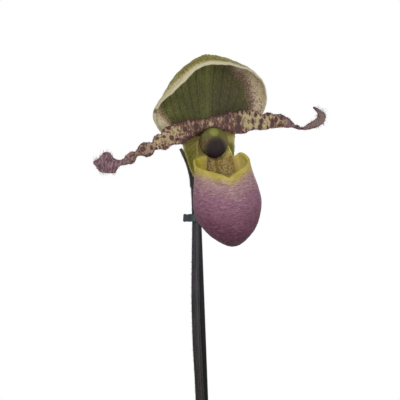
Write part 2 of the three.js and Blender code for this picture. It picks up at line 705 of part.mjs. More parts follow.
addNode(plant, "pot", potGeometry(), FINISHES.clay);
addNode(plant, "bark_mix", barkGeometry(), FINISHES.bark);
SHOOTS.forEach((shoot) => addNode(plant, shoot.name, shootGeometry(shoot), FINISHES.sheath));
LEAVES.forEach((leaf, k) => addNode(plant, `leaf_${k + 1}`, leafGeometry(leaf), FINISHES.leaf));
addNode(plant, "flower_stalk", stalkGeometry(), FINISHES.stalk);
addNode(plant, "stake", stakeGeometry(), FINISHES.stake);
addNode(plant, "stake_tie", tieGeometry(), FINISHES.tie);
addNode(plant, "bract", bractGeometry(), FINISHES.bract);

const flower = new THREE.Group();
flower.position.set(FLOWER.x, FLOWER.y, FLOWER.z);
flower.quaternion.setFromAxisAngle(vec(0, -1, 0), rad(FLOWER.rollDeg));
flower.quaternion.multiply(new THREE.Quaternion().setFromAxisAngle(vec(0, 0, 1), rad(FLOWER.yawDeg)));
plant.add(flower);
addNode(flower, "ovary", ovaryGeometry(), FINISHES.ovary);
addNode(flower, "dorsal_sepal", hoodGeometry(), FINISHES.hood);
addNode(flower, "lower_sepals", bibGeometry(), FINISHES.bib);
for (const [name, petal] of Object.entries(PETALS)) addNode(flower, name, petalGeometry(petal), FINISHES.petal);
addNode(flower, "pouch", pouchGeometry(), FINISHES.pouch);
addNode(flower, "column", columnGeometry(), FINISHES.column);
addNode(flower, "column_shield", shieldGeometry(), FINISHES.shield);

export default plant;
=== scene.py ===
# A potted slipper orchid with one open flower, dressed over its CAD frame.
# Pieces are shaped in millimetres and placed in metres. +Z is up and the flower faces -Y.
import math

import bmesh
import bpy
import numpy as np
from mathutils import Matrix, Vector, noise


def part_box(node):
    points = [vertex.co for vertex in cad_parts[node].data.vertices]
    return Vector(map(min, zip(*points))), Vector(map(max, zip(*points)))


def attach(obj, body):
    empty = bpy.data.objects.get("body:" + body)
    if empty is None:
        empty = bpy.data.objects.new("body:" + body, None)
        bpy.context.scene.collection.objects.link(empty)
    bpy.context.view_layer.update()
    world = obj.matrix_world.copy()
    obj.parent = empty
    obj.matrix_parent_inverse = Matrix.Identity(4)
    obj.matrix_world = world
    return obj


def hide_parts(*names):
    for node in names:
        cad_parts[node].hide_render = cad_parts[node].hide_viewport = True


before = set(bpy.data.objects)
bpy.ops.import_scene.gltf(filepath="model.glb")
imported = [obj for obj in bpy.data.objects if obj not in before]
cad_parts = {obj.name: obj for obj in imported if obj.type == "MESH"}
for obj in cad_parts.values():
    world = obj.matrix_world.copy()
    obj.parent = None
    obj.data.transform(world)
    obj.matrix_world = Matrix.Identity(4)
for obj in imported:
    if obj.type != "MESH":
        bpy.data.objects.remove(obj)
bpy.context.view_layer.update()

MM = 0.001

# The frame's own sizes, in millimetres
low, high = (np.array(corner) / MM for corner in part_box("pot"))
POT_HEIGHT = high[2]
POT_RADIUS = (high[0] - low[0]) / 2
BARK_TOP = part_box("bark_mix")[1].z / MM - 4.5
STALK_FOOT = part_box("flower_stalk")[0].z / MM
STALK_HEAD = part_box("flower_stalk")[1].z / MM

# Where the flower's middle is, and how it is turned on its stalk
FLOWER_PLACE = np.array([-2, -22, 345])
FLOWER_YAW = math.radians(15)
FLOWER_ROLL = math.radians(7.3)

# The camera looks level along +Y. One pixel of the photograph is 0.38 mm at the flower.
PHOTO_SIDE = 400
PIXEL = 0.38
CAMERA_DISTANCE = 750
CAMERA_PLACE = np.array([-5.04, -772, 318])
SENSOR = 36


# Small sums
def lerp(a, b, share):
    return a + (b - a) * share


def smooth(value, start, end):
    share = np.clip((value - start) / (end - start), 0, 1)
    return share * share * (3 - 2 * share)


def bump(value, middle, width):
    return np.exp(-(((value - middle) / width) ** 2))


def xyz(x, y, z):
    return np.stack(np.broadcast_arrays(x, y, z), axis=-1).astype(float)


def even(steps):
    """Shares from 0 to 1 in even steps."""
    return np.linspace(0, 1, steps + 1)


def full_turn(sides):
    return np.linspace(0, 2 * math.pi, sides, endpoint=False)


def unit(v):
    return v / np.maximum(np.linalg.norm(v, axis=-1, keepdims=True), 1e-9)


def profile(pairs):
    """A smooth curve through [place, value] pairs, read at any place."""
    xs, ys = np.array(pairs, float).T
    before = np.r_[0, np.arange(len(xs) - 1)]
    after = np.r_[np.arange(1, len(xs)), len(xs) - 1]
    slopes = (ys[after] - ys[before]) / (xs[after] - xs[before])

    def at(place):
        x = np.clip(place, xs[0], xs[-1])
        i = np.clip(np.searchsorted(xs, x) - 1, 0, len(xs) - 2)
        span = xs[i + 1] - xs[i]
        t = (x - xs[i]) / span
        level = ys[i] * (1 + 2 * t) * (1 - t) ** 2 + ys[i + 1] * t * t * (3 - 2 * t)
        return level + span * t * (1 - t) * (slopes[i] * (1 - t) - slopes[i + 1] * t)

    return at


class Line:
    """A smooth line through points, read by share of its length."""

    def __init__(self, points, steps=24):
        p = np.array(points, float)
        p = np.vstack([2 * p[0] - p[1], p, 2 * p[-1] - p[-2]])
        fine = [p[1]]
        for a, b, c, d in zip(p, p[1:], p[2:], p[3:]):
            ta, tb, tc = (np.linalg.norm(side) ** 0.5 for side in (b - a, c - b, d - c))
            leave = ((b - a) / ta - (c - a) / (ta + tb) + (c - b) / tb) * tb
            reach = ((c - b) / tb - (d - b) / (tb + tc) + (d - c) / tc) * tb
            for t in np.arange(1, steps + 1) / steps:
                near = b * (1 + 2 * t) * (1 - t) ** 2 + c * t * t * (3 - 2 * t)
                fine.append(near + t * (1 - t) * (leave * (1 - t) - reach * t))
        self.points = np.array(fine)
        gone = np.r_[0, np.cumsum(np.linalg.norm(np.diff(self.points, axis=0), axis=1))]
        self.shares = gone / gone[-1]

    def at(self, share):
        return np.stack([np.interp(share, self.shares, self.points[:, k]) for k in range(3)], axis=-1)

    def ahead(self, share):
        step = 0.006
        return unit(self.at(np.minimum(share + step, 1)) - self.at(np.maximum(share - step, 0)))


def turned(points, angle, axis):
    """Points turned about an axis through the origin."""
    k = np.array(axis, float)
    along = (points @ k)[..., None] * k
    return along + (points - along) * math.cos(angle) + np.cross(k, points) * math.sin(angle)


def in_world(points):
    """From the flower's own frame to the row frame."""
    yawed = turned(points, FLOWER_YAW, (0, 0, 1))
    return turned(yawed, FLOWER_ROLL, (0, -1, 0)) + FLOWER_PLACE


def in_photo(points):
    """Where row-frame points fall in the photograph, in pixels from its top left."""
    reach = CAMERA_DISTANCE / PIXEL / (points[..., 1] - CAMERA_PLACE[1])
    across = PHOTO_SIDE / 2 + reach * (points[..., 0] - CAMERA_PLACE[0])
    down = PHOTO_SIDE / 2 - reach * (points[..., 2] - CAMERA_PLACE[2])
    return across, down


def roughness_at(points, size, seed=0.0):
    """Smooth noise from -1 to 1 at each point."""
    shift = Vector((seed, 1.7 * seed, -2.3 * seed))
    flat = points.reshape(-1, 3) / size
    return np.array([noise.noise(Vector(p) + shift) for p in flat]).reshape(points.shape[:-1])


# Meshes
def grid_faces(rows, columns, closed=False):
    """Quads of a grid of points, with its columns joined round if closed."""
    wide = columns if closed else columns + 1
    i, j = np.meshgrid(np.arange(rows), np.arange(columns), indexing="ij")
    a = i * wide + j
    b = i * wide + (j + 1) % wide
    return np.stack([a, a + wide, b + wide, b], axis=-1).reshape(-1, 4).tolist()


class Shape:
    """Points, faces and each point's place: its share along, its share across, and its side or tone."""

    def __init__(self):
        self.points = []
        self.faces = []
        self.places = []
        self.count = 0

    def add(self, points, faces, places=None):
        points = np.asarray(points, float).reshape(-1, 3)
        places = np.zeros_like(points) if places is None else np.asarray(places, float).reshape(-1, 3)
        self.faces += [[corner + self.count for corner in face] for face in faces]
        self.points.append(points)
        self.places.append(places)
        self.count += len(points)
        return self

    def all_points(self):
        return np.concatenate(self.points)

    def all_places(self):
        return np.concatenate(self.places)


def make_mesh(name, shape, tones=None):
    """A mesh in metres with smooth, outward faces. It keeps its places, and its points in millimetres."""
    mesh = bpy.data.meshes.new(name)
    points = shape.all_points()
    mesh.from_pydata((points * MM).tolist(), [], shape.faces)
    for label, values in (("place", shape.all_places()), ("spot", points), ("tone", tones)):
        if values is not None:
            layer = mesh.attributes.new(label, "FLOAT_VECTOR", "POINT")
            layer.data.foreach_set("vector", np.asarray(values, np.float32).ravel())
    work = bmesh.new()
    work.from_mesh(mesh)
    bmesh.ops.recalc_face_normals(work, faces=work.faces)
    work.to_mesh(mesh)
    work.free()
    mesh.shade_smooth()
    return mesh


def add_piece(name, mesh, finish, stands_for=()):
    piece = bpy.data.objects.new(name, mesh)
    bpy.context.scene.collection.objects.link(piece)
    mesh.materials.append(FINISHES[finish])
    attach(piece, "root")
    if stands_for:
        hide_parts(*stands_for)


def blade(surface, shares, columns, thickness):
    """A thin body round a middle surface: u runs 0 to 1 along it and v runs -1 to 1 across it."""
    rows = len(shares) - 1
    u, v = np.meshgrid(shares, np.linspace(-1, 1, columns + 1), indexing="ij")
    facing = facing_of(surface, u, v)
    half = 0.5 * thickness(u, v)[..., None]
    middle = surface(u, v)
    shape = Shape()
    for side in (1, -1):
        places = xyz(u, v, side)
        shape.add(middle + side * half * facing, grid_faces(rows, columns), places)
    wide, layer = columns + 1, (rows + 1) * (columns + 1)
    border = list(range(columns))
    border += [i * wide + columns for i in range(rows)]
    border += [rows * wide + j for j in range(columns, 0, -1)]
    border += [i * wide for i in range(rows, 0, -1)]
    after = border[1:] + border[:1]
    shape.faces += [[a, b, b + layer, a + layer] for a, b in zip(border, after)]
    return shape


def facing_of(surface, u, v):
    """The direction that a surface faces, from its neighbouring points."""
    step = 1e-3
    along = surface(np.minimum(u + step, 1), v) - surface(np.maximum(u - step, 0), v)
    across = surface(u, v + step) - surface(u, v - step)
    return unit(np.cross(along, across))


def tube(rings, places, ends, end_places=((0, 0, 0), (0, 0, 0))):
    """A closed body through rings of points, with a fan at each end round the point given for it."""
    rings = np.asarray(rings)
    rows, sides = rings.shape[:2]
    shape = Shape().add(rings, grid_faces(rows - 1, sides, closed=True), places)
    for first, end, place in zip((0, (rows - 1) * sides), ends, end_places):
        tip = shape.count
        shape.add([end], [], [place])
        shape.faces += [[first + j, first + (j + 1) % sides, tip] for j in range(sides)]
    return shape


def rod(line, shares, sides, radius):
    """A closed round rod along a line. radius(share, turn) may change along it and round it."""
    centre, ahead = line.at(shares), line.ahead(shares)
    side = [unit(np.cross(ahead[0], (0.3, 1.0, 0.1)))]
    for direction in ahead[1:]:
        side.append(unit(side[-1] - direction * (side[-1] @ direction)))
    side = np.array(side)
    other = np.cross(ahead, side)
    share, turn = np.meshgrid(shares, full_turn(sides), indexing="ij")
    out = np.cos(turn)[..., None] * side[:, None] + np.sin(turn)[..., None] * other[:, None]
    rings = centre[:, None] + radius(share, turn)[..., None] * out
    places = xyz(share, turn / math.pi - 1, 0)
    return tube(rings, places, (centre[0], centre[-1]), ((0, 0, 0), (1, 0, 0)))


def lathe(outline, sides, wobble=None):
    """A closed body turned about Z from a list of [radius, height], which starts and ends on the axis."""
    outline = np.array(outline, float)
    turn = full_turn(sides)
    radius, height = outline[1:-1, :1], outline[1:-1, 1:]
    points = xyz(radius * np.cos(turn), radius * np.sin(turn), height)
    if wobble:
        points = wobble(points)
    places = xyz(even(len(points) - 1)[:, None], turn / math.pi - 1, 0)
    return tube(points, places, [(0, 0, outline[row, 1]) for row in (0, -1)])


def rounded(corners, reach):
    """An open outline with each inner corner turned into an arc that starts reach before it."""
    steps = 5
    corners = [np.array(c, float) for c in corners]
    outline = [corners[0]]
    for before, corner, after in zip(corners, corners[1:], corners[2:]):
        back, on = before - corner, after - corner
        start = corner + back * min(reach / np.linalg.norm(back), 0.45)
        end = corner + on * min(reach / np.linalg.norm(on), 0.45)
        for t in np.arange(steps + 1) / steps:
            outline.append(start * (1 - t) ** 2 + 2 * corner * t * (1 - t) + end * t * t)
    return outline + [corners[-1]]


def filled_in(outline, spacing):
    """The same outline with points no further apart than spacing."""
    fine = [outline[0]]
    for a, b in zip(outline, outline[1:]):
        count = max(int(np.linalg.norm(b - a) / spacing), 1)
        fine += [lerp(a, b, k / count) for k in range(1, count + 1)]
    return fine


def cut_with(mesh, cutters, operation="DIFFERENCE"):
    """The mesh after each cutter is taken away from it, or joined to it."""
    body = bpy.data.objects.new("body_to_cut", mesh)
    bpy.context.scene.collection.objects.link(body)
    tools = []
    for k, cutter in enumerate(cutters):
        tool = bpy.data.objects.new(f"cutter_{k}", cutter)
        bpy.context.scene.collection.objects.link(tool)
        tools.append(tool)
        cut = body.modifiers.new(f"cut_{k}", "BOOLEAN")
        cut.operation = operation
        cut.solver = "EXACT"
        cut.object = tool
    graph = bpy.context.evaluated_depsgraph_get()
    done = bpy.data.meshes.new_from_object(body.evaluated_get(graph))
    for each in (body, *tools):
        bpy.data.objects.remove(each)
    return done


def hairs(roots, ways, lengths, radius, seed):
    """Tapering three-sided hairs that bend a little on the way, each rooted inside the skin."""
    draw = np.random.default_rng(seed)
    roots, ways = roots.reshape(-1, 3), unit(ways.reshape(-1, 3))
    count = len(roots)
    side = unit(np.cross(ways, draw.normal(size=(count, 3))))
    other = np.cross(ways, side)
    lean = side * (0.25 * lengths * draw.uniform(-1, 1, count))[:, None]
    rings = []
    for share, thick, bend in ((0, 1, 0), (0.5, 0.75, 0.3)):
        centre = roots + ways * (lengths * share)[:, None] + lean * bend
        for turn in full_turn(3):
            rings.append(centre + radius * thick * (math.cos(turn) * side + math.sin(turn) * other))
    rings.append(roots + ways * lengths[:, None] + lean)
    points = np.stack(rings, axis=1)
    pattern = [[2, 1, 0], [0, 1, 4, 3], [1, 2, 5, 4], [2, 0, 3, 5], [3, 4, 6], [4, 5, 6], [5, 3, 6]]
    faces = [[7 * k + corner for corner in face] for k in range(count) for face in pattern]
    share = np.tile(np.array([0, 0, 0, 0.5, 0.5, 0.5, 1.0]), (count, 1))
    shade = np.tile(draw.uniform(0, 1, count)[:, None], (1, 7))
    return Shape().add(points, faces, xyz(share, shade, 0))


# Finishes
def tint(code):
    """A colour in the renderer's own light from an 0xRRGGBB code."""
    parts = [(code >> shift & 255) / 255 for shift in (16, 8, 0)]
    return (*[p / 12.92 if p < 0.04045 else ((p + 0.055) / 1.055) ** 2.4 for p in parts], 1)


class Value:
    """What a node puts out. Plain sums on it add the nodes that work them out."""

    def __init__(self, nodes, socket):
        self.nodes = nodes
        self.socket = socket

    def __add__(self, other):
        return self.nodes.maths("ADD", self, other)

    def __sub__(self, other):
        return self.nodes.maths("SUBTRACT", self, other)

    def __mul__(self, other):
        return self.nodes.maths("MULTIPLY", self, other)

    def __abs__(self):
        return self.nodes.maths("ABSOLUTE", self)


class Nodes:
    """Short calls that add nodes to one node tree. They take values, numbers or 0xRRGGBB codes."""

    def __init__(self, tree):
        self.tree = tree

    def add(self, kind, feeds, out=0, **settings):
        """A new node's output, or a list of its outputs where out is a tuple."""
        node = self.tree.nodes.new(kind)
        for label, value in settings.items():
            setattr(node, label, value)
        for label, value in feeds.items():
            self.feed(node.inputs[label], value)
        if isinstance(out, tuple):
            return [Value(self, node.outputs[label]) for label in out]
        return Value(self, node.outputs[out])

    def feed(self, socket, value):
        if isinstance(value, Value):
            self.tree.links.new(value.socket, socket)
        elif isinstance(value, int) and socket.type == "RGBA":
            socket.default_value = tint(value)
        else:
            socket.default_value = value

    def attribute(self, name):
        return self.add("ShaderNodeAttribute", {}, "Vector", attribute_name=name)

    def parts(self, vector):
        return self.add("ShaderNodeSeparateXYZ", {0: vector}, (0, 1, 2))

    def numbers(self, name):
        """The three numbers that the mesh keeps under a name."""
        return self.parts(self.attribute(name))

    def maths(self, operation, a, b=0.0):
        return self.add("ShaderNodeMath", {0: a, 1: b}, operation=operation)

    def most(self, a, b):
        return self.maths("MAXIMUM", a, b)

    def ease(self, value, start, end, low=0.0, high=1.0):
        """Low where the value is start, high where it is end, and smooth between."""
        feeds = {0: value, 1: start, 2: end, 3: low, 4: high}
        return self.add("ShaderNodeMapRange", feeds, interpolation_type="SMOOTHSTEP")

    def rough(self, value, low, high):
        """A roughness that goes from low to high with an uneven value."""
        return self.ease(value, 0.3, 0.7, low, high)

    def blend(self, share, low, high, how="MIX"):
        return self.add("ShaderNodeMix", {0: share, 6: low, 7: high}, 2, data_type="RGBA", blend_type=how)

    def shade(self, share, colour, by):
        return self.blend(share, colour, by, "MULTIPLY")

    def coat(self, colour, over, value, start, end, most=1.0):
        """The colour with another over it, none where the value is start and most where it is end."""
        return self.blend(self.ease(value, start, end, 0.0, most), colour, over)

    def noise(self, at, size, detail=2.0, distortion=0.0):
        feeds = {"Vector": at, "Scale": 1 / size, "Detail": detail, "Distortion": distortion}
        return self.add("ShaderNodeTexNoise", feeds)

    def stretched(self, vector, factors):
        return self.add("ShaderNodeVectorMath", {0: vector, 1: factors}, operation="MULTIPLY")

    def streaks(self, at, per_mm, detail=2.0, distortion=0.0):
        """Noise that is finer along some axes than along others."""
        return self.noise(self.stretched(at, per_mm), 1, detail, distortion)

    def cells(self, at, per_mm):
        """The distance to the nearest of many scattered points, and a colour drawn for that point."""
        return self.add("ShaderNodeTexVoronoi", {"Vector": at, "Scale": per_mm}, ("Distance", "Color"))

    def effect(self, group, out=0, **feeds):
        feeds = {label.replace("_", " "): value for label, value in feeds.items()}
        return self.add("ShaderNodeGroup", feeds, out, node_tree=group)


def new_effect(name, inputs, outputs, fill):
    """A shared node group. fill(nodes, input values) returns its output values in order."""
    group = bpy.data.node_groups.new(name, "ShaderNodeTree")
    for label, kind, value in inputs:
        socket = group.interface.new_socket(name=label, in_out="INPUT", socket_type=f"NodeSocket{kind}")
        if value is not None:
            socket.default_value = value
    for label in outputs:
        group.interface.new_socket(name=label, in_out="OUTPUT", socket_type="NodeSocketFloat")
    nodes = Nodes(group)
    given = nodes.add("NodeGroupInput", {}, tuple(label for label, _, _ in inputs))
    nodes.add("NodeGroupOutput", dict(zip(outputs, fill(nodes, *given))), ())
    return group


def fill_grain(nodes, place, coarse, fine, strength):
    """Fine unevenness of a living skin: a gentle change of tone and a height."""
    broad = nodes.add("ShaderNodeTexNoise", {"Vector": place, "Scale": coarse, "Detail": 3.0})
    small = nodes.add("ShaderNodeTexNoise", {"Vector": place, "Scale": fine, "Detail": 2.0})
    both = broad * 0.5 + small * 0.5
    return strength * (both - 0.5) + 1.0, both


def fill_speckles(nodes, place, per_mm, cover, size):
    """Small round dots, some of them missing."""
    away, drawn = nodes.cells(place, per_mm)
    chance = nodes.parts(drawn)[0]
    reach = size * nodes.ease(chance, 0.0, 1.0, 0.42, 0.2)
    return [nodes.ease(away - reach, 0.06, -0.1) * nodes.maths("LESS_THAN", chance, cover)]


def fill_veins(nodes, place, across, width, waver):
    """Lines that run along a piece, a little wavering and broken."""
    wander = nodes.noise(place, 1 / 0.35)
    away = abs(nodes.maths("FRACT", across + waver * (wander - 0.5)) - 0.5)
    broken = nodes.noise(place, 1 / 1.3)
    return [nodes.ease(away - width * nodes.ease(broken, 0.3, 0.6, 0.35, 1.2), 0.05, -0.05)]


GRAIN = new_effect(
    "skin_grain",
    [("Place", "Vector", None), ("Coarse", "Float", 1), ("Fine", "Float", 5), ("Strength", "Float", 0.3)],
    ["Tone", "Height"],
    fill_grain,
)
SPECKLES = new_effect(
    "speckles",
    [("Place", "Vector", None), ("Per mm", "Float", 1.5), ("Cover", "Float", 0.6), ("Size", "Float", 1.0)],
    ["Mask"],
    fill_speckles,
)
VEINS = new_effect(
    "veins",
    [("Place", "Vector", None), ("Across", "Float", 0.0), ("Width", "Float", 0.15), ("Waver", "Float", 0.2)],
    ["Mask"],
    fill_veins,
)


def new_finish(name, paint, bump_depth=0.05, **constant):
    """A material. paint(nodes) gives its colour, roughness and height from 0 to 1. bump_depth is in mm."""
    finish = bpy.data.materials.new(name)
    finish.use_nodes = True
    tree = finish.node_tree
    nodes = Nodes(tree)
    shader = tree.nodes["Principled BSDF"]
    for label, value in constant.items():
        shader.inputs[label.replace("_", " ")].default_value = value
    colour, rough, height = paint(nodes)
    nodes.feed(shader.inputs["Base Color"], colour)
    nodes.feed(shader.inputs["Roughness"], rough)
    if height is not None:
        feeds = {"Height": height, "Distance": bump_depth * MM, "Strength": 1.0}
        nodes.feed(shader.inputs["Normal"], nodes.add("ShaderNodeBump", feeds))
    return finish


# The hood's lines are this far apart at its rim, and its midrib is this far along them from straight up
HOOD_LINE_DEG = 8.2
HOOD_RIB = 0.8

# Where a painted highlight runs down one side of the stalk, as the second number of its places
STALK_HIGHLIGHT_TURN = -0.27

SKIN = {"Subsurface_Weight": 0.12, "Subsurface_Radius": (0.0012, 0.0008, 0.0004), "Subsurface_Scale": 1.0}


def grained(nodes, colour, coarse, fine, strength):
    """The colour made uneven by the skin grain, and the grain's height."""
    spot = nodes.attribute("spot")
    tone, height = nodes.effect(GRAIN, (0, 1), Place=spot, Coarse=coarse, Fine=fine, Strength=strength)
    grey = nodes.add("ShaderNodeCombineXYZ", {0: tone, 1: tone, 2: tone})
    return nodes.shade(1.0, colour, grey), height


def paint_clay(nodes):
    spot = nodes.attribute("spot")
    z = nodes.parts(spot)[2]
    banding = nodes.streaks(spot, (0.03, 0.03, 0.9), 3.0)
    cloud = nodes.noise(spot, 28, 4.0)
    colour = nodes.coat(0xB0603A, 0xBD6F47, banding, 0.35, 0.65)
    colour = nodes.coat(colour, 0xCC8A60, cloud, 0.4, 0.75, 0.6)
    bloom = nodes.noise(spot, 11, 5.0)
    lime = nodes.ease(bloom, 0.52, 0.72) * nodes.ease(z, 20, 95, 0.75, 0.25)
    colour = nodes.blend(lime * 0.55, colour, 0xD9C3AD)
    damp = nodes.ease(z + cloud * 16, 24, 8, 0.0, 0.45)
    colour = nodes.blend(damp, colour, 0x7A3B22)
    specks = nodes.effect(SPECKLES, Place=spot, Per_mm=0.45, Cover=0.28)
    colour = nodes.blend(specks * 0.35, colour, 0x8A4527)
    colour, grain = grained(nodes, colour, 0.5, 3.2, 0.25)
    height = grain * 0.5 + banding * 0.5
    return colour, nodes.ease(lime, 0.0, 1.0, 0.82, 0.95), height


def paint_bark(nodes):
    spot = nodes.attribute("spot")
    shade = nodes.numbers("place")[0]
    layers = nodes.streaks(nodes.attribute("tone"), (0.25, 0.5, 2.4), 4.0, 0.8)
    colour = nodes.blend(shade, 0x3A2415, 0x8A5A36)
    colour = nodes.coat(nodes.shade(1.0, colour, 0x8C7F78), colour, layers, 0.42, 0.62)
    dust = nodes.noise(spot, 3.5, 4.0)
    colour = nodes.coat(colour, 0xA58462, dust, 0.55, 0.78, 0.5)
    colour, grain = grained(nodes, colour, 1.0, 4.0, 0.5)
    return colour, nodes.rough(dust, 0.95, 0.75), layers * 0.7 + grain * 0.3


def paint_perlite(nodes):
    spot = nodes.attribute("spot")
    pits = nodes.cells(spot, 1.25)[0]
    # Greyer in the pits: painted shade
    colour = nodes.coat(0xB9B2A4, 0xF2EFE8, pits, 0.05, 0.6)
    colour, grain = grained(nodes, colour, 1.4, 5.0, 0.2)
    return colour, nodes.rough(grain, 0.8, 0.95), pits


def paint_sheath(nodes):
    spot = nodes.attribute("spot")
    place = nodes.numbers("place")
    z = nodes.parts(spot)[2]
    lines = nodes.effect(VEINS, Place=spot, Across=place[1] * 16.0, Width=0.16, Waver=0.4)
    green = nodes.coat(0x9AA25E, 0x6D8A3C, z, 100, 122)
    colour = nodes.coat(green, 0x9C7B4C, z, 104, 94)
    colour = nodes.shade(lines * 0.5, colour, 0x8A7A56)
    stain = nodes.noise(spot, 4, 4.0)
    colour = nodes.coat(colour, 0x6B4A2C, stain, 0.55, 0.75, 0.5)
    colour, grain = grained(nodes, colour, 0.6, 3.0, 0.3)
    return colour, nodes.ease(z, 95, 115, 0.8, 0.5), lines * -0.5 + grain


def paint_leaf(nodes):
    """Dark chequered green above with a pale midrib, and paler below with purple dots at the foot."""
    place = nodes.attribute("place")
    u, v, side = nodes.parts(place)
    flat = nodes.stretched(place, (180, 20, 9))
    away = abs(v)
    chequer = nodes.streaks(flat, (0.16, 0.55, 1), 2.0, 0.6)
    nerves = nodes.effect(VEINS, Place=flat, Across=v * 8.0, Width=0.1, Waver=0.25)
    top = nodes.coat(0x2C5420, 0x4B7A33, chequer, 0.42, 0.62)
    top = nodes.blend(nerves * 0.35, top, 0x6C9448)
    top = nodes.coat(top, 0x86A55C, away, 0.07, 0.015, 0.55)
    below = nodes.coat(0x7E9A5A, 0x94AB6E, chequer, 0.35, 0.7)
    below = nodes.coat(below, 0xA9B984, away, 0.1, 0.03, 0.6)
    dots = nodes.effect(SPECKLES, Place=flat, Per_mm=1.1, Cover=0.7)
    foot = nodes.ease(u + chequer * 0.12, 0.34, 0.14)
    below = nodes.blend(dots * foot * 0.75, below, 0x55304A)
    colour = nodes.coat(top, below, side, 0.3, -0.3)
    colour = nodes.coat(colour, 0x9FAA66, u, 0.12, -0.03, 0.75)
    edge = nodes.ease(away, 0.955, 0.995)
    colour = nodes.blend(edge * 0.5, colour, 0x9CAE6A)
    tip = nodes.ease(u + chequer * 0.02, 0.985, 1.0)
    colour = nodes.blend(tip * 0.7, colour, 0x8C7038)
    scars = nodes.noise(nodes.attribute("spot"), 9, 3.0)
    colour = nodes.coat(colour, 0x8A7A44, scars, 0.72, 0.76, 0.6)
    colour, grain = grained(nodes, colour, 0.9, 4.5, 0.18)
    height = grain * 0.4 - nerves * 0.5
    return colour, nodes.ease(side, 0.3, -0.3, 0.36, 0.58), height


def paint_stalk(nodes):
    """Dark purple-brown bark-like skin under short down, browner lower down, with a painted highlight down
    one side.
    """
    spot = nodes.attribute("spot")
    place = nodes.numbers("place")
    z = nodes.parts(spot)[2]
    streaks = nodes.streaks(spot, (1.6, 1.6, 0.16), 4.0)
    upper = nodes.coat(0x1C1A1F, 0x36343B, streaks, 0.35, 0.65)
    lower = nodes.coat(0x0F0A06, 0x1E150E, streaks, 0.35, 0.65)
    # A pale line down one side of the stalk is a painted highlight
    stalk_highlight = nodes.ease(abs(place[1] - STALK_HIGHLIGHT_TURN), 0.055, 0.015)
    upper = nodes.blend(stalk_highlight * 0.8, upper, 0x56545C)
    lower = nodes.blend(stalk_highlight * 0.8, lower, 0x352D27)
    colour = nodes.coat(lower, upper, z, 225, 300)
    colour = nodes.coat(colour, 0x5B6038, z, 160, 125, 0.6)
    flecks = nodes.effect(SPECKLES, Place=spot, Per_mm=2.6, Cover=0.5)
    colour = nodes.blend(flecks * 0.3, colour, 0x57525A)
    ribs = nodes.effect(VEINS, Place=spot, Across=place[1] * 7.0, Width=0.12, Waver=0.3)
    colour, grain = grained(nodes, colour, 1.5, 6.0, 0.5)
    return colour, nodes.rough(grain, 0.6, 0.85), grain - ribs * 0.4


def paint_stake(nodes):
    spot = nodes.attribute("spot")
    z = nodes.parts(spot)[2]
    streaks = nodes.streaks(spot, (2.2, 2.2, 0.05), 3.0)
    dark = nodes.coat(0x060505, 0x1C1D24, z, 245, 300)
    colour = nodes.coat(dark, nodes.blend(0.1, dark, 0x5A5450), streaks, 0.4, 0.7)
    scuffs = nodes.noise(nodes.stretched(spot, (1, 1, 0.3)), 2.5, 5.0)
    colour = nodes.coat(colour, 0x6E675F, scuffs, 0.64, 0.74, 0.15)
    colour, grain = grained(nodes, colour, 0.8, 3.0, 0.25)
    return colour, nodes.rough(scuffs, 0.5, 0.65), streaks + grain * 0.4


def paint_tie(nodes):
    spot = nodes.attribute("spot")
    z = nodes.parts(spot)[2]
    ribs = nodes.maths("SINE", z * 9.0)
    # Lighter on the ribs and darker between them: painted shade in the grooves
    colour = nodes.coat(0x2A323A, 0x3D4751, ribs, -1.0, 1.0)
    dust = nodes.noise(spot, 0.9, 4.0)
    colour = nodes.coat(colour, 0x646E74, dust, 0.5, 0.75, 0.4)
    colour, grain = grained(nodes, colour, 1.2, 5.0, 0.25)
    return colour, nodes.rough(dust, 0.45, 0.65), ribs * 0.3 + grain


def paint_bract(nodes):
    spot = nodes.attribute("spot")
    u, v, side = nodes.numbers("place")
    lines = nodes.effect(VEINS, Place=spot, Across=v * 4.5, Width=0.14, Waver=0.3)
    colour = nodes.blend(u, 0x3E3F38, 0x35402F)
    colour = nodes.blend(lines * 0.6, colour, 0x2A1F24)
    colour = nodes.coat(colour, 0x6F7A4C, side, 0.3, -0.3, 0.5)
    colour, grain = grained(nodes, colour, 1.0, 5.0, 0.35)
    return colour, nodes.rough(grain, 0.55, 0.75), grain - lines * 0.5


def paint_ovary(nodes):
    spot = nodes.attribute("spot")
    share, turn, _ = nodes.numbers("place")
    ribs = nodes.ease(nodes.maths("COSINE", turn * 6 * math.pi), -1.0, 1.0)
    colour = nodes.blend(ribs, 0x3C2528, 0x75683F)
    colour = nodes.coat(colour, 0x8B8A48, share, 0.6, 1.0, 0.6)
    dots = nodes.effect(SPECKLES, Place=spot, Per_mm=2.0, Cover=0.7)
    colour = nodes.blend(dots * 0.5, colour, 0x3A2026)
    colour, grain = grained(nodes, colour, 1.0, 5.0, 0.35)
    return colour, nodes.rough(grain, 0.6, 0.8), grain


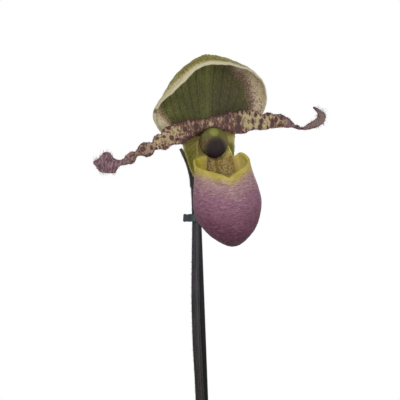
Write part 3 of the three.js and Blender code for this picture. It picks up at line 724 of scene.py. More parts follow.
def paint_hood(nodes):
    """Olive inside with dark lines fanning from the foot, a dotted cream margin, and a speckled back."""
    spot = nodes.attribute("spot")
    u, v, side = nodes.numbers("place")
    margin, crest, across = nodes.numbers("tone")
    from_rib = abs(across - HOOD_RIB)
    lines = nodes.effect(VEINS, Place=spot, Across=across, Width=0.11, Waver=0.35)
    lines = lines * nodes.ease(from_rib, 0.4, 0.7)
    fine = nodes.effect(VEINS, Place=spot, Across=across * 3.0, Width=0.14, Waver=0.8)
    patches = nodes.streaks(spot, (0.25, 0.25, 0.12), 3.0)
    mottle = nodes.noise(nodes.stretched(spot, (1, 1, 0.55)), 0.6, 3.0)
    inside = nodes.coat(0x585B1E, 0x676A2C, patches, 0.35, 0.65)
    inside = nodes.coat(inside, 0x494420, across, 0.2, 3.0, 0.9)
    rib = nodes.ease(from_rib, 1.6, 0.1) * nodes.ease(u, 1.0, 0.5)
    inside = nodes.blend(rib * 0.14, inside, 0x77793A)
    core = nodes.ease(from_rib, 0.2, 0.04) * nodes.ease(u, 0.95, 0.5)
    inside = nodes.blend(core * 0.2, inside, 0x9A9A45)
    inside = nodes.blend(fine * 0.45, inside, 0x3B3D16)
    inside = nodes.blend(lines * 0.6, inside, 0x2E2C17)
    inside = nodes.coat(inside, 0x34341A, mottle, 0.46, 0.3, 0.6)
    inside = nodes.coat(inside, 0x85874A, mottle, 0.56, 0.75, 0.3)
    # Painted shade deep in the hood's hollow, darker towards its foot
    inside = nodes.shade(nodes.ease(u, 0.5, 0.3, 0.0, 0.8), inside, 0xD6D6D0)
    grains = nodes.noise(spot, 0.45, 2.0)
    stipple = nodes.noise(spot, 0.5, 1.0)
    few = nodes.ease(margin, 1.15, 0.3)
    left = nodes.ease(across, -4.5, -6.0)
    dots = stipple + few * 0.18 - left * 0.04
    dots = nodes.ease(dots, 0.57, 0.63)
    cream = nodes.coat(0xBEAE90, 0xCCBFA0, patches, 0.3, 0.7)
    # Lighter cream on the left lobe's inner margin is painted light
    cream = nodes.blend(left * 0.6, cream, 0xE6DABC)
    cream = nodes.coat(cream, 0x8E745A, margin, 1.05, 0.4, 0.75)
    edge = margin + (grains - 0.5) * 1.8
    inside = nodes.coat(inside, cream, edge, 0.15, 0.6)
    dot_tint = nodes.blend(left, 0x64403F, 0x6A4630)
    inside = nodes.blend(dots * nodes.ease(margin, 0.05, 0.5, 0.0, 0.75), inside, dot_tint)
    back = nodes.blend(crest, 0xC2B990, 0x8F893A)
    back = nodes.blend(lines * crest * 0.3, back, 0x626029)
    often = nodes.ease(crest, 0.0, 0.8, 0.5, 1.0)
    back_dots = nodes.effect(SPECKLES, Place=spot, Per_mm=1.5, Cover=often, Size=1.2)
    back_dots = nodes.most(back_dots, nodes.ease(grains, 0.53, 0.62))
    back = nodes.blend(back_dots * nodes.ease(crest, 0.0, 0.8, 0.3, 0.85), back, 0x4E4022)
    colour = nodes.coat(inside, back, side, -0.5, 0.5)
    rim = nodes.ease(u + patches * 0.01, 0.972, 0.988)
    colour = nodes.blend(rim * 0.9, colour, 0xC9C2A4)
    # Painted shade in a small notch near the rim on the left
    notch_shade = nodes.ease(abs(v + 0.72), 0.03, 0.012) * nodes.ease(u, 0.88, 0.94)
    colour = nodes.blend(notch_shade * 0.85, colour, 0x4E4034)
    colour, grain = grained(nodes, colour, 0.9, 4.5, 0.25)
    height = grain * 0.6 + lines * 0.5 + mottle * 0.4
    return colour, nodes.rough(grain, 0.6, 0.78), height


def paint_bib(nodes):
    """Yellow-green with fine dark dots and faint darker lines down it."""
    spot = nodes.attribute("spot")
    u, v, side = nodes.numbers("place")
    lines = nodes.effect(VEINS, Place=spot, Across=v * 11.0, Width=0.1, Waver=0.4)
    patches = nodes.noise(spot, 3.5, 3.0)
    colour = nodes.coat(0x8F8B3C, 0xA59F48, patches, 0.35, 0.65)
    colour = nodes.blend(lines * 0.28, colour, 0x5D6128)
    dots = nodes.effect(SPECKLES, Place=spot, Per_mm=1.9, Cover=0.55)
    colour = nodes.blend(dots * 0.6, colour, 0x5A4430)
    colour = nodes.coat(colour, 0xADA768, u, 0.965, 0.99, 0.5)
    # Lighter towards the top: painted light where the petals cast shade
    colour = nodes.coat(colour, 0xD8D080, nodes.parts(spot)[2], -8, -4.5, 0.6)
    colour = nodes.coat(colour, 0x7A6B48, side, -0.5, 0.5, 0.35)
    colour, grain = grained(nodes, colour, 0.9, 4.5, 0.22)
    return colour, nodes.rough(grain, 0.6, 0.75), grain * 0.6 + lines * 0.5


def paint_petal(nodes):
    """Cream with maroon blotches and beaded edges, mottled near the foot, and dusky mauve at the tail."""
    spot = nodes.attribute("spot")
    place = nodes.attribute("place")
    _, v, side = nodes.parts(place)
    depth, streaky, tail = nodes.numbers("tone")
    away = abs(v)
    ragged = nodes.noise(spot, 0.9, 3.0)
    fibres = nodes.streaks(place, (110, 1.9, 1), 2.0, 0.8)
    ground = nodes.coat(0xB5A87A, 0xAD9884, away, 0.55, 1.0)
    ground = nodes.coat(ground, 0x8C766C, tail, 0.0, 0.3)
    ground = nodes.blend(streaky * 0.6, ground, 0xA08468)
    ground = nodes.coat(ground, 0x98826A, ragged, 0.5, 0.75, 0.35)
    ground = nodes.blend(nodes.ease(fibres, 0.5, 0.66) * 0.3, ground, 0x8A7058)
    flecks = nodes.noise(nodes.stretched(spot, (1, 1, 0.75)), 0.9, 3.0, 0.7)
    flecks = flecks + (streaky - 1) * 0.2
    ground = nodes.coat(ground, 0x866856, flecks, 0.35, 0.43, 0.8)
    ground = nodes.coat(ground, 0x502B27, flecks, 0.43, 0.52, 0.9)
    teeth = nodes.streaks(place, (48, 1.2, 0), 2.0)
    reach = (teeth - 0.5) * 2.4 + streaky * 0.25
    edge = away + reach + (ragged - 0.5) * 0.3
    deep = depth + (ragged - 0.5) * 0.6
    halo = nodes.most(nodes.ease(deep, 0.3, 0.48), nodes.ease(edge, 0.86, 1.02))
    ground = nodes.blend(halo * 0.5, ground, 0x82665A)
    marks = nodes.most(nodes.ease(deep, 0.42, 0.54), nodes.ease(edge, 0.98, 1.08))
    colour = nodes.blend(marks * 0.95, ground, nodes.coat(0x361A1C, 0x563232, ragged, 0.35, 0.65))
    star = depth + (ragged - 0.5) * 2.4
    colour = nodes.coat(colour, 0xB4A488, star, -0.4, -0.9, 0.5)
    waves = nodes.streaks(place, (85, 1.5, 1), 2.0, 1.2)
    dusky = nodes.coat(0x513340, 0x8D6C74, waves, 0.4, 0.6)
    curl = nodes.coat(0x341E26, 0x745860, nodes.noise(spot, 0.6, 2.0, 0.5), 0.42, 0.58)
    curl = nodes.coat(curl, 0x36202A, away, 0.65, 0.9, 0.7)
    dusky = nodes.coat(dusky, curl, tail, 1.0, 1.3)
    colour = nodes.coat(colour, dusky, tail + (ragged - 0.5) * 0.6, 0.3, 0.7)
    colour = nodes.coat(colour, 0x9C8578, side, 0.5, -0.5, 0.35)
    colour, grain = grained(nodes, colour, 1.0, 5.0, 0.25)
    height = grain * 0.4 + fibres * 0.4 + marks * 0.3
    return colour, nodes.rough(grain, 0.58, 0.75), height


def paint_pouch(nodes):
    """Mauve under a yellow rim, with short dark dashes that are partly its own marks and partly painted
    shade in fine wrinkles, painted highlights between them, and trails like a worm's on a pale back wall.
    """
    spot = nodes.attribute("spot")
    _, turn, side = nodes.numbers("place")
    below, wall, ear = nodes.numbers("tone")
    x, _, z = nodes.parts(spot)
    cloud = nodes.noise(spot, 5, 2.0)
    dashes = nodes.noise(nodes.stretched(spot, (0.45, 0.45, 2)), 0.72, 1.5, 1.0)
    depth = below + (cloud - 0.5) * 1.5
    skin = nodes.coat(0xB09A62, 0xA38382, depth, 1.6, 4.4)
    skin = nodes.coat(skin, 0x8A5F74, depth, 3.0, 11.5)
    skin = nodes.coat(skin, 0x68384F, depth, 10.0, 23.0)
    # Darker towards the toe: partly the pouch's own deeper purple, partly painted shade under it
    skin = nodes.coat(skin, 0x4B273B, z, -37, -45, 0.7)
    # Dark dashes: partly the pouch's own marks, partly painted shade in its fine wrinkles
    skin = nodes.coat(skin, nodes.shade(1.0, skin, 0xA8808C), dashes, 0.52, 0.64, 0.55)
    # Pale colour between the dashes is a painted highlight
    light = nodes.ease(dashes, 0.46, 0.32) * nodes.ease(depth, 16, 6, 0.1, 0.35)
    skin = nodes.blend(light, skin, 0xC4A4A4)
    yellow = nodes.coat(0xAA9A3C, 0xB9AA56, cloud, 0.35, 0.65)
    outside = nodes.coat(skin, yellow, depth, 2.1, 0.9)
    # The upper back wall's own pale yellow, made brighter with painted light where the shield shades it
    claw = nodes.coat(0xBCB05C, 0xC6BE84, cloud, 0.4, 0.7)
    high = nodes.ease(z + cloud * 8, -27, -13)
    outside = nodes.blend(wall * high, outside, claw)
    trails = abs(nodes.noise(spot, 0.85, 2.0, 0.5) - 0.5)
    worms = nodes.ease(trails, 0.07, 0.025) * nodes.ease(turn, 0.8, 0.85)
    worms = worms * nodes.ease(z, -10.4, -11.8)
    pale = nodes.coat(0xB0984A, 0xBCA468, cloud, 0.35, 0.65)
    # Lighter higher up the back wall: painted light against the shade under the shield
    pale = nodes.coat(pale, 0xE0D67C, z, -12, -9)
    pale = nodes.blend(worms * 0.75, pale, 0x66422E)
    from_stripe = abs(x - 0.25)
    stripe = nodes.ease(from_stripe, 0.85, 0.45) * nodes.ease(z, -8, -10)
    pale = nodes.blend(stripe * 0.85, pale, 0x7C6430)
    lining = nodes.coat(0x9C8A16, 0xAE9E2C, cloud, 0.35, 0.65)
    lining = nodes.coat(lining, 0xDCCB70, x, 4, 7, 0.6)
    lining = nodes.blend(ear * 0.4, lining, 0xD0B874)
    inside = nodes.blend(wall, lining, pale)
    # Painted shade deep inside the pouch
    inside = nodes.coat(inside, 0x5A3A3A, z, -19, -25, 0.8)
    colour = nodes.coat(inside, outside, side, -0.4, 0.4)
    # Painted shade on the left side of the back wall, by the left lobe
    lobe = wall * nodes.ease(x, -2.5, -4.5) * nodes.ease(z, -13.5, -8.5, 0.2, 1.0)
    colour = nodes.shade(lobe, colour, 0xA8A296)
    colour, grain = grained(nodes, colour, 1.2, 6.0, 0.2)
    height = grain * 0.3 - nodes.ease(dashes, 0.4, 0.65) * 0.6
    return colour, nodes.rough(grain, 0.6, 0.74), height


def paint_column(nodes):
    spot = nodes.attribute("spot")
    cloud = nodes.noise(spot, 1.6, 3.0)
    colour = nodes.coat(0xC2B964, 0xD5CE9A, cloud, 0.35, 0.65)
    dots = nodes.effect(SPECKLES, Place=spot, Per_mm=2.2, Cover=0.25)
    colour = nodes.blend(dots * 0.6, colour, 0x7A5040)
    colour, grain = grained(nodes, colour, 1.0, 5.0, 0.2)
    return colour, nodes.rough(grain, 0.4, 0.6), grain


def paint_shield(nodes):
    """Purple-black and glossy, green at its top under a painted highlight, with a mottled olive ring and a
    thin dark rim.
    """
    spot = nodes.attribute("spot")
    across, up, share = nodes.numbers("tone")
    cloud = nodes.noise(spot, 1.2, 3.0)
    uneven = (cloud - 0.5) * 0.4
    mottle = nodes.cells(spot, 2)[0]
    ring = nodes.coat(0x706030, 0x4C3C1E, mottle, 0.2, 0.6)
    ring = nodes.coat(ring, 0x7A7046, across, 0.2, 0.8, 0.6)
    green = up + uneven - across * across * 0.35
    ring = nodes.coat(ring, 0x5E602A, green, 0.0, 0.5, 0.85)
    dark = nodes.coat(0x271A1B, 0x2A1B22, up, 0.1, -0.8)
    low = up + 0.5 + uneven * 0.6
    heart = across * across * 1.0 + low * low * 0.85
    colour = nodes.coat(ring, dark, heart, 0.85, 0.22)
    # The lighter green crown is partly the shield's own green and partly a painted highlight
    top = up - 0.68
    crown = across * across * 1.8 + top * top * 2.4
    colour = nodes.coat(colour, 0x8A8F46, crown, 0.28, 0.02, 0.8)
    colour = nodes.coat(colour, 0x2B1C16, share, 0.955, 0.985, 0.8)
    colour, grain = grained(nodes, colour, 1.2, 5.0, 0.3)
    return colour, nodes.ease(mottle, 0.1, 0.6, 0.5, 0.65), mottle * 0.3 + grain * 0.4


def paint_warts(nodes):
    cloud = nodes.noise(nodes.attribute("spot"), 0.8, 2.0)
    return nodes.coat(0x3A1E27, 0x5E3842, cloud, 0.3, 0.7), nodes.rough(cloud, 0.55, 0.7), None


def paint_down(foot, tip):
    """Hairs from one colour at the foot to another at the tip."""
    def paint(nodes):
        share, chance, _ = nodes.numbers("place")
        colour = nodes.blend(share, foot, tip)
        colour = nodes.shade(chance * 0.5, colour, 0x8C8C8C)
        return colour, nodes.ease(share, 0.0, 1.0, 0.6, 0.75), None
    return paint


FINISHES = {
    "clay": new_finish("unglazed_clay", paint_clay, 0.25),
    "bark": new_finish("fir_bark", paint_bark, 0.5),
    "perlite": new_finish("perlite_grains", paint_perlite, 0.3),
    "sheath": new_finish("leaf_sheath", paint_sheath, 0.15),
    "leaf": new_finish("strap_leaf", paint_leaf, 0.12, Coat_Weight=0.15, Coat_Roughness=0.3, **SKIN),
    "stalk": new_finish("downy_stalk", paint_stalk, 0.12),
    "stake": new_finish("stake_rod", paint_stake, 0.05, Specular_IOR_Level=0.2),
    "tie": new_finish("plant_tie", paint_tie, 0.06),
    "bract": new_finish("bract", paint_bract, 0.08),
    "ovary": new_finish("ribbed_ovary", paint_ovary, 0.08),
    "hood": new_finish("hood_sepal", paint_hood, 0.1, **SKIN),
    "bib": new_finish("joined_sepals", paint_bib, 0.08, **SKIN),
    "petal": new_finish("blotched_petal", paint_petal, 0.1, **SKIN),
    "pouch": new_finish("mauve_pouch", paint_pouch, 0.12, Specular_IOR_Level=0.4, **SKIN),
    "column": new_finish("cream_column", paint_column, 0.05, **SKIN),
    "shield": new_finish("glossy_shield", paint_shield, 0.05, Specular_IOR_Level=0.3),
    "warts": new_finish("petal_warts", paint_warts),
    "dark_down": new_finish("dark_down", paint_down(0x4A2F36, 0x6E4F58)),
    "stalk_down": new_finish("stalk_down", paint_down(0x2E2622, 0x665E56)),
    "pale_down": new_finish("pale_down", paint_down(0x9A9468, 0xD8D2BC)),
}


# Pot
POT_WALL = 5.5
POT_FLOOR = 7
POT_FOOT_RADIUS = 41
POT_NECK_RADIUS = POT_RADIUS - 6.1
POT_RIM_HEIGHT = 25
DRAIN_RADIUS = 5
DRAIN_RING = 21


def pot_inner_radius(z):
    foot = POT_FOOT_RADIUS - POT_WALL
    return foot + (POT_NECK_RADIUS - POT_FOOT_RADIUS) * (z - POT_FLOOR) / (POT_HEIGHT - POT_FLOOR)


def add_pot():
    """A thrown clay pot with a thick rim, faint turning rings and three drain holes."""
    ledge = POT_HEIGHT - POT_RIM_HEIGHT
    rim = POT_RADIUS - 0.6
    inside = pot_inner_radius(POT_HEIGHT)
    corners = [
        [0, 0],
        [POT_FOOT_RADIUS, 0],
        [POT_NECK_RADIUS, ledge],
        [rim, ledge + 1.2],
        [POT_RADIUS, POT_HEIGHT],
        [inside, POT_HEIGHT],
        [pot_inner_radius(POT_FLOOR), POT_FLOOR],
        [0, POT_FLOOR],
    ]
    outline = filled_in(rounded(corners, 2.2), 1.1)

    def thrown(points):
        x, y, z = np.moveaxis(points, -1, 0)
        rings = 0.11 * np.sin(2.1 * z + 0.8 * np.sin(0.37 * z)) * smooth(z, 3, 8)
        rings -= 0.25 * bump(z, ledge - 3.5, 0.9) + 0.2 * bump(z, POT_HEIGHT - 8, 0.8)
        grow = 1 - (0.12 - rings) / np.hypot(x, y) * (np.hypot(x, y) > 12)
        return xyz(x * grow, y * grow, z)

    body = make_mesh("clay_pot", lathe(outline, 160, thrown))
    drills = []
    for k in range(3):
        turn = math.radians(90 + 120 * k)
        x, y = DRAIN_RING * math.cos(turn), DRAIN_RING * math.sin(turn)
        drill = lathe([[0, -9], [DRAIN_RADIUS, -9], [DRAIN_RADIUS, 2 * POT_FLOOR], [0, 2 * POT_FLOOR]], 40)
        drill.points = [points + np.array([x, y, 0]) for points in drill.points]
        drills.append(make_mesh("drill", drill))
    body = cut_with(body, drills)
    body.shade_smooth()
    add_piece("clay_pot", body, "clay", ["pot"])


# Bark
SHOOT_PLACES = np.array([[2, 8], [-7, -26]])
CHIPS = 190
CHIPS_A_LAYER = 95
CHIP_HALF_SIZES = np.array([6.6, 4.3, 2.2])
PERLITE_GRAINS = 46
CHIP_SEED = 23


def lump(draw, size, power, rows=7, columns=11, jitter=0.09):
    """A closed, rough body inside a box of the given half sizes. A high power squares it."""
    tilt = np.linspace(0, math.pi, rows + 1)[1:-1][:, None]
    turn = full_turn(columns)
    ways = xyz(np.cos(tilt), np.sin(tilt) * np.cos(turn), np.sin(tilt) * np.sin(turn))
    ways = np.concatenate([ways.reshape(-1, 3), [[1, 0, 0], [-1, 0, 0]]])
    ways /= (np.abs(ways) ** power).sum(axis=-1, keepdims=True) ** (1 / power)
    ways *= 1 + jitter * draw.normal(size=(len(ways), 1))
    faces = grid_faces(rows - 2, columns, closed=True)
    last = (rows - 2) * columns
    count = last + columns
    faces += [[j, (j + 1) % columns, count] for j in range(columns)]
    faces += [[last + j, last + (j + 1) % columns, count + 1] for j in range(columns)]
    return ways * np.array(size), faces


def tipped(points, draw, most_deg):
    """Points turned about Z by any angle, after a tilt of at most most_deg each way."""
    points = turned(points, math.radians(draw.uniform(-most_deg, most_deg)), (1, 0, 0))
    points = turned(points, math.radians(draw.uniform(-most_deg, most_deg)), (0, 1, 0))
    return turned(points, draw.uniform(0, 2 * math.pi), (0, 0, 1))


def kept_in_pot(points):
    """Points pulled in from the pot's wall."""
    reach = np.hypot(points[:, 0], points[:, 1])
    most = pot_inner_radius(points[:, 2]) - 0.5
    points[:, :2] *= np.minimum(1, most / np.maximum(reach, 1e-6))[:, None]
    return points


def add_bark():
    """A bed of bark with chips heaped over it, and a few grains of perlite."""
    draw = np.random.default_rng(CHIP_SEED)
    shape = Shape()
    # Points before each chip is tipped and put in place, so that its layers lie along it
    own = []

    def uneven(points):
        top = smooth(points[..., 2], BARK_TOP - 12, BARK_TOP - 6)
        points[..., 2] += top * 1.6 * roughness_at(points, 6)
        return points

    low = POT_FLOOR + 0.4
    bed = [[0, low], [pot_inner_radius(low) - 5, low], [pot_inner_radius(low + 5) - 0.6, low + 5]]
    bed += [[pot_inner_radius(BARK_TOP - 5) - 0.6, BARK_TOP - 5], [0, BARK_TOP - 4]]
    bed = lathe(filled_in([np.array(p, float) for p in bed], 2.5), 96, uneven)
    bed.places = [np.zeros_like(p) + 0.15 for p in bed.points]
    shape.add(bed.all_points(), bed.faces, bed.all_places())
    own.append(bed.all_points())
    golden = math.pi * (3 - math.sqrt(5))
    for k in range(CHIPS):
        size = CHIP_HALF_SIZES * draw.uniform(0.6, 1.15) * draw.uniform(0.8, 1.2, 3)
        points, faces = lump(draw, size, power=7)
        local = points + 40 * k
        layer, number = divmod(k, CHIPS_A_LAYER)
        out = (pot_inner_radius(BARK_TOP) - 5) * math.sqrt((number + 0.5) / CHIPS_A_LAYER)
        turn = k * golden + layer
        centre = np.array([out * math.cos(turn), out * math.sin(turn)]) + draw.uniform(-1.5, 1.5, 2)
        near = np.linalg.norm(SHOOT_PLACES - centre, axis=1).min()
        level = BARK_TOP - 4.5 + 2.6 * layer + draw.uniform(-0.8, 1.2) - 1.8 * (near < 14)
        points = tipped(points, draw, 22) + np.array([*centre, level])
        shade = draw.uniform(0, 1)
        if near > 9.5:
            shape.add(kept_in_pot(points), faces, np.full_like(points, shade))
            own.append(local)
    chips = make_mesh("bark_bed", shape, np.concatenate(own))
    chips.shade_flat()
    add_piece("bark_bed", chips, "bark", ["bark_mix"])
    grains = Shape()
    for _ in range(PERLITE_GRAINS):
        points, faces = lump(draw, draw.uniform(0.9, 1.9, 3), power=2.4, rows=6, columns=8, jitter=0.07)
        out, turn = 42 * math.sqrt(draw.uniform(0.02, 1)), draw.uniform(0, 2 * math.pi)
        centre = np.array([out * math.cos(turn), out * math.sin(turn), BARK_TOP + draw.uniform(0.2, 1.8)])
        if np.linalg.norm(SHOOT_PLACES - centre[:2], axis=1).min() > 13:
            grains.add(points + centre, faces)
    add_piece("perlite", make_mesh("perlite", grains), "perlite")


# Shoots and leaves
# A row a shoot: its node, where it stands, its top, its half widths in and across its fan, the fan's turn
SHOOTS = [
    ("shoot_old", 2, 8, 127, 12, 6.5, 2),
    ("shoot_new", -7, -26, 118, 10, 5.5, -4),
]
SHOOT_BOTTOM = 60
SHOOT_TOP_SHARE = 0.42
BARK_LINE = 91
# A row a leaf: its shoot, which way it points, its swing sideways, its foot's height, its length and width,
# its slope at the foot and at the tip, and its roll
LEAVES = [
    (0, 0, 4, 99.5, 196, 42, 60, -44, 7),
    (0, 180, -9, 101, 204, 44, 63, -38, -8),
    (0, 0, 22, 107, 190, 43, 70, -10, -9),
    (0, 180, -24, 112, 172, 40, 74, -4, 8),
    (0, 0, -6, 118, 112, 31, 82, 38, 5),
    (1, 0, -26, 98, 168, 39, 58, -46, 8),
    (1, 180, 27, 100, 176, 40, 61, -40, -7),
    (1, 0, -44, 105, 150, 37, 71, -6, -6),
    (1, 180, 12, 110, 112, 32, 79, 26, 6),
]
LEAF_RIB = 1.9
LEAF_EDGE = 0.8
LEAF_CLEAR = 0.55
LEAF_CLASP = 26
LEAF_FOLD_DEG = 27
LEAF_FLAT_DEG = 13
LEAF_TIP = 0.36


def shoot_share(top, z):
    """How wide a shoot is at a height, as a share of its width at the bark."""
    up = np.maximum((z - BARK_LINE) / (top - BARK_LINE), 0)
    return lerp(1, SHOOT_TOP_SHARE, up**0.8)


def add_shoot(node, x, y, top, deep, wide, azimuth_deg):
    """A flattened shoot with faint ribs, and a dry collar of old leaf sheath at the bark."""
    lean = math.radians(azimuth_deg)

    def oval(z, turn, grow):
        share = shoot_share(top, z)
        ribs = 0.1 * np.cos(14 * turn)
        a = (share * deep + grow + ribs) * np.cos(turn)
        b = (share * wide + grow + ribs) * np.sin(turn)
        return xyz(
            x + a * math.cos(lean) - b * math.sin(lean),
            y + a * math.sin(lean) + b * math.cos(lean),
            z,
        )

    rows = 60
    share = np.r_[np.linspace(0, 0.97, rows), [0.985, 0.996, 1]]
    closing = (1 - 0.5 * smooth(share, 0.86, 0.99)) * np.r_[np.ones(rows), [0.96, 0.85, 0.6]]
    z, turn = np.meshgrid(lerp(SHOOT_BOTTOM, top, share), full_turn(72), indexing="ij")
    centre = np.array([x, y, 0])
    points = centre + (oval(z, turn, 0) - centre) * xyz(closing, closing, 1)[:, None]
    places = xyz(share[:, None], turn / math.pi, 0)
    shape = tube(points, places, ((x, y, SHOOT_BOTTOM), (x, y, top)))
    add_piece(f"{node}_body", make_mesh(node, shape), "sheath", [node])

    def collar(u, v):
        turn = math.pi * 0.97 * v + 0.4
        ragged = 2.2 * np.sin(5 * turn + 1) * np.sin(3 * turn) + 1.2 * np.sin(17 * turn)
        height = BARK_LINE - 5 + u * (9 + ragged)
        return oval(height, turn, 0.7 + 0.9 * u * u)

    dry = blade(collar, even(8), 120, lambda u, v: np.full_like(u, 0.35))
    add_piece(f"{node}_collar", make_mesh("collar", dry), "sheath")


def leaf_surface(shoot, side, swing, foot, length, width, rise, fall, roll_deg):
    """A leaf's middle surface. Below its foot, where u is negative, it clasps the shoot as a sheath."""
    _, x0, y0, top, deep, wide, azimuth = SHOOTS[shoot]
    share = shoot_share(top, foot)
    deep, wide = share * deep + LEAF_CLEAR, share * wide + LEAF_CLEAR
    steps = (np.arange(40) + 0.5) / 40

    def open_blade(u, v):
        slope = np.radians(lerp(rise, fall, (u[..., None] * steps) ** 0.9))
        out = u * length * np.cos(slope).mean(axis=-1)
        up = u * length * np.sin(slope).mean(axis=-1)
        angle = np.radians(lerp(rise, fall, u**0.9))
        to_tip = np.maximum((u - (1 - LEAF_TIP)) / LEAF_TIP, 0)
        half = 0.5 * width * lerp(0.4, 1, smooth(u, 0, 0.48))
        half = half * np.maximum(np.maximum(1 - to_tip**2.2, 0) ** 0.72, 0.04)
        turn = 1.25 * v
        opening = smooth(u * length, 0, LEAF_CLASP * 1.8)
        fold = np.radians(lerp(LEAF_FOLD_DEG, LEAF_FLAT_DEG, smooth(u, 0.05, 0.5)))
        soft_rib = np.sqrt(v * v + 0.01) - 0.1
        across = lerp(wide * np.sin(turn), half * v * np.cos(fold), opening)
        above = lerp(deep * (1 - np.cos(turn)) * 0.8, half * soft_rib * np.sin(fold), opening)
        above = above + smooth(u, 0.25, 1) * np.sin(u * 9 + length) * 0.06 * half * v
        above = above + 0.5 * smooth(u, 0.1, 0.4) * v * v * np.sin(u * 37 + length + 2 * (v > 0))
        roll = np.radians(roll_deg) * smooth(u, 0.1, 0.9)
        across, above = (
            across * np.cos(roll) - above * np.sin(roll),
            across * np.sin(roll) + above * np.cos(roll),
        )
        heading = np.radians(azimuth + side + swing * smooth(u, 0, 1))
        radial = deep + out - above * np.sin(angle)
        x = radial * np.cos(heading) - across * np.sin(heading)
        y = radial * np.sin(heading) + across * np.cos(heading)
        return x, y, foot + up + above * np.cos(angle)

    def surface(u, v):
        x, y, z = open_blade(np.maximum(u, 0), v)
        down = np.maximum(-u, 0) * length
        grow = (shoot_share(top, foot - down) / share - 1) * 0.9 + 1
        grow = grow - 0.03 * smooth(down, 0, 4)
        return xyz(x0 + x * grow, y0 + y * grow, z - down)

    return surface


def add_leaf(number, row):
    foot, length = row[3], row[4]

    def thickness(u, v):
        nerves = 0.07 * np.cos(16 * math.pi * v) * smooth(u, 0.02, 0.2)
        body = lerp(LEAF_RIB, LEAF_EDGE, np.abs(v) ** 0.7) * lerp(1, 0.7, u)
        return (body + nerves) * (1 - 0.75 * np.abs(v) ** 12) * lerp(0.35, 1, smooth(u, -0.02, 0.08))

    sheath = np.linspace((BARK_LINE - 1.5 - foot) / length, 0, 10, endpoint=False)
    shares = np.r_[sheath, 1 - (1 - np.linspace(0, 1, 97)) ** 1.25]
    mesh = make_mesh("leaf_blade", blade(leaf_surface(*row), shares, 32, thickness))
    add_piece(f"leaf_blade_{number}", mesh, "leaf", [f"leaf_{number}"])


# Stalk, stake and tie
STALK_RADIUS = 1.45
STALK_HAIRS = 5200
STALK_LINE = Line([
    [2, 8, 127.3], [-0.6, 8.6, 165], [-3.5, 8.5, 210], [-5.4, 8, 245.6], [-6.5, 7.5, 267], [-6.9, 7, 286],
    [-6.8, 6.6, 309], [-7.4, 6, 329.5],
])
STAKE_RADIUS = 1.9
STAKE_FOOT = np.array([4.2, 22, 30])
STAKE_HEAD = np.array([-6.5, 10.1, 314])
TIE_Z = 311


def stalk_radius(share):
    return STALK_RADIUS + 0.32 * (1 - smooth(share, 0.66, 0.92))


def add_stalk():
    """A slim, faintly ribbed stalk under a coat of short down."""
    def radius(share, turn):
        ribs = 0.035 * np.cos(7 * turn) + 0.03 * np.sin(60 * share + 2 * turn)
        knots = 0.12 * bump(share, 0.985, 0.012)
        head = np.sqrt(np.clip(1 - ((share - 0.993) / 0.007).clip(0) ** 2, 0.02, 1))
        return (stalk_radius(share) - 0.06 + ribs + knots) * head

    shares = np.r_[np.linspace(0, 0.99, 260), np.linspace(0.9925, 1, 9)]
    body = make_mesh("downy_stalk", rod(STALK_LINE, shares, 28, radius))
    add_piece("downy_stalk", body, "stalk", ["flower_stalk"])
    draw = np.random.default_rng(31)
    share, turn = draw.uniform(0.01, 0.985, STALK_HAIRS), draw.uniform(0, 2 * math.pi, STALK_HAIRS)
    ahead, out = round_line(STALK_LINE, share, turn, (0, 1, 0))
    roots = STALK_LINE.at(share) + out * (stalk_radius(share) - 0.25)[:, None]
    ways = out + 0.35 * ahead + 0.25 * draw.normal(size=out.shape)
    down = hairs(roots, ways, draw.uniform(0.45, 0.95, STALK_HAIRS), 0.032, 32)
    add_piece("stalk_hairs", make_mesh("stalk_hairs", down), "stalk_down")


def add_stake():
    """A thin straight rod with a rounded head and faint grooves along it."""
    line = Line([STAKE_FOOT, lerp(STAKE_FOOT, STAKE_HEAD, 0.5), STAKE_HEAD])

    def radius(share, turn):
        ends = np.sqrt(np.clip(1 - ((share - 0.9955) / 0.0045).clip(0) ** 2, 0.02, 1))
        return (STAKE_RADIUS - 0.03 + 0.02 * np.cos(9 * turn)) * ends

    shares = np.r_[np.linspace(0, 0.99, 90), np.linspace(0.993, 1, 9)]
    body = make_mesh("stake_rod", rod(line, shares, 36, radius))
    add_piece("stake_rod", body, "stake", ["stake"])


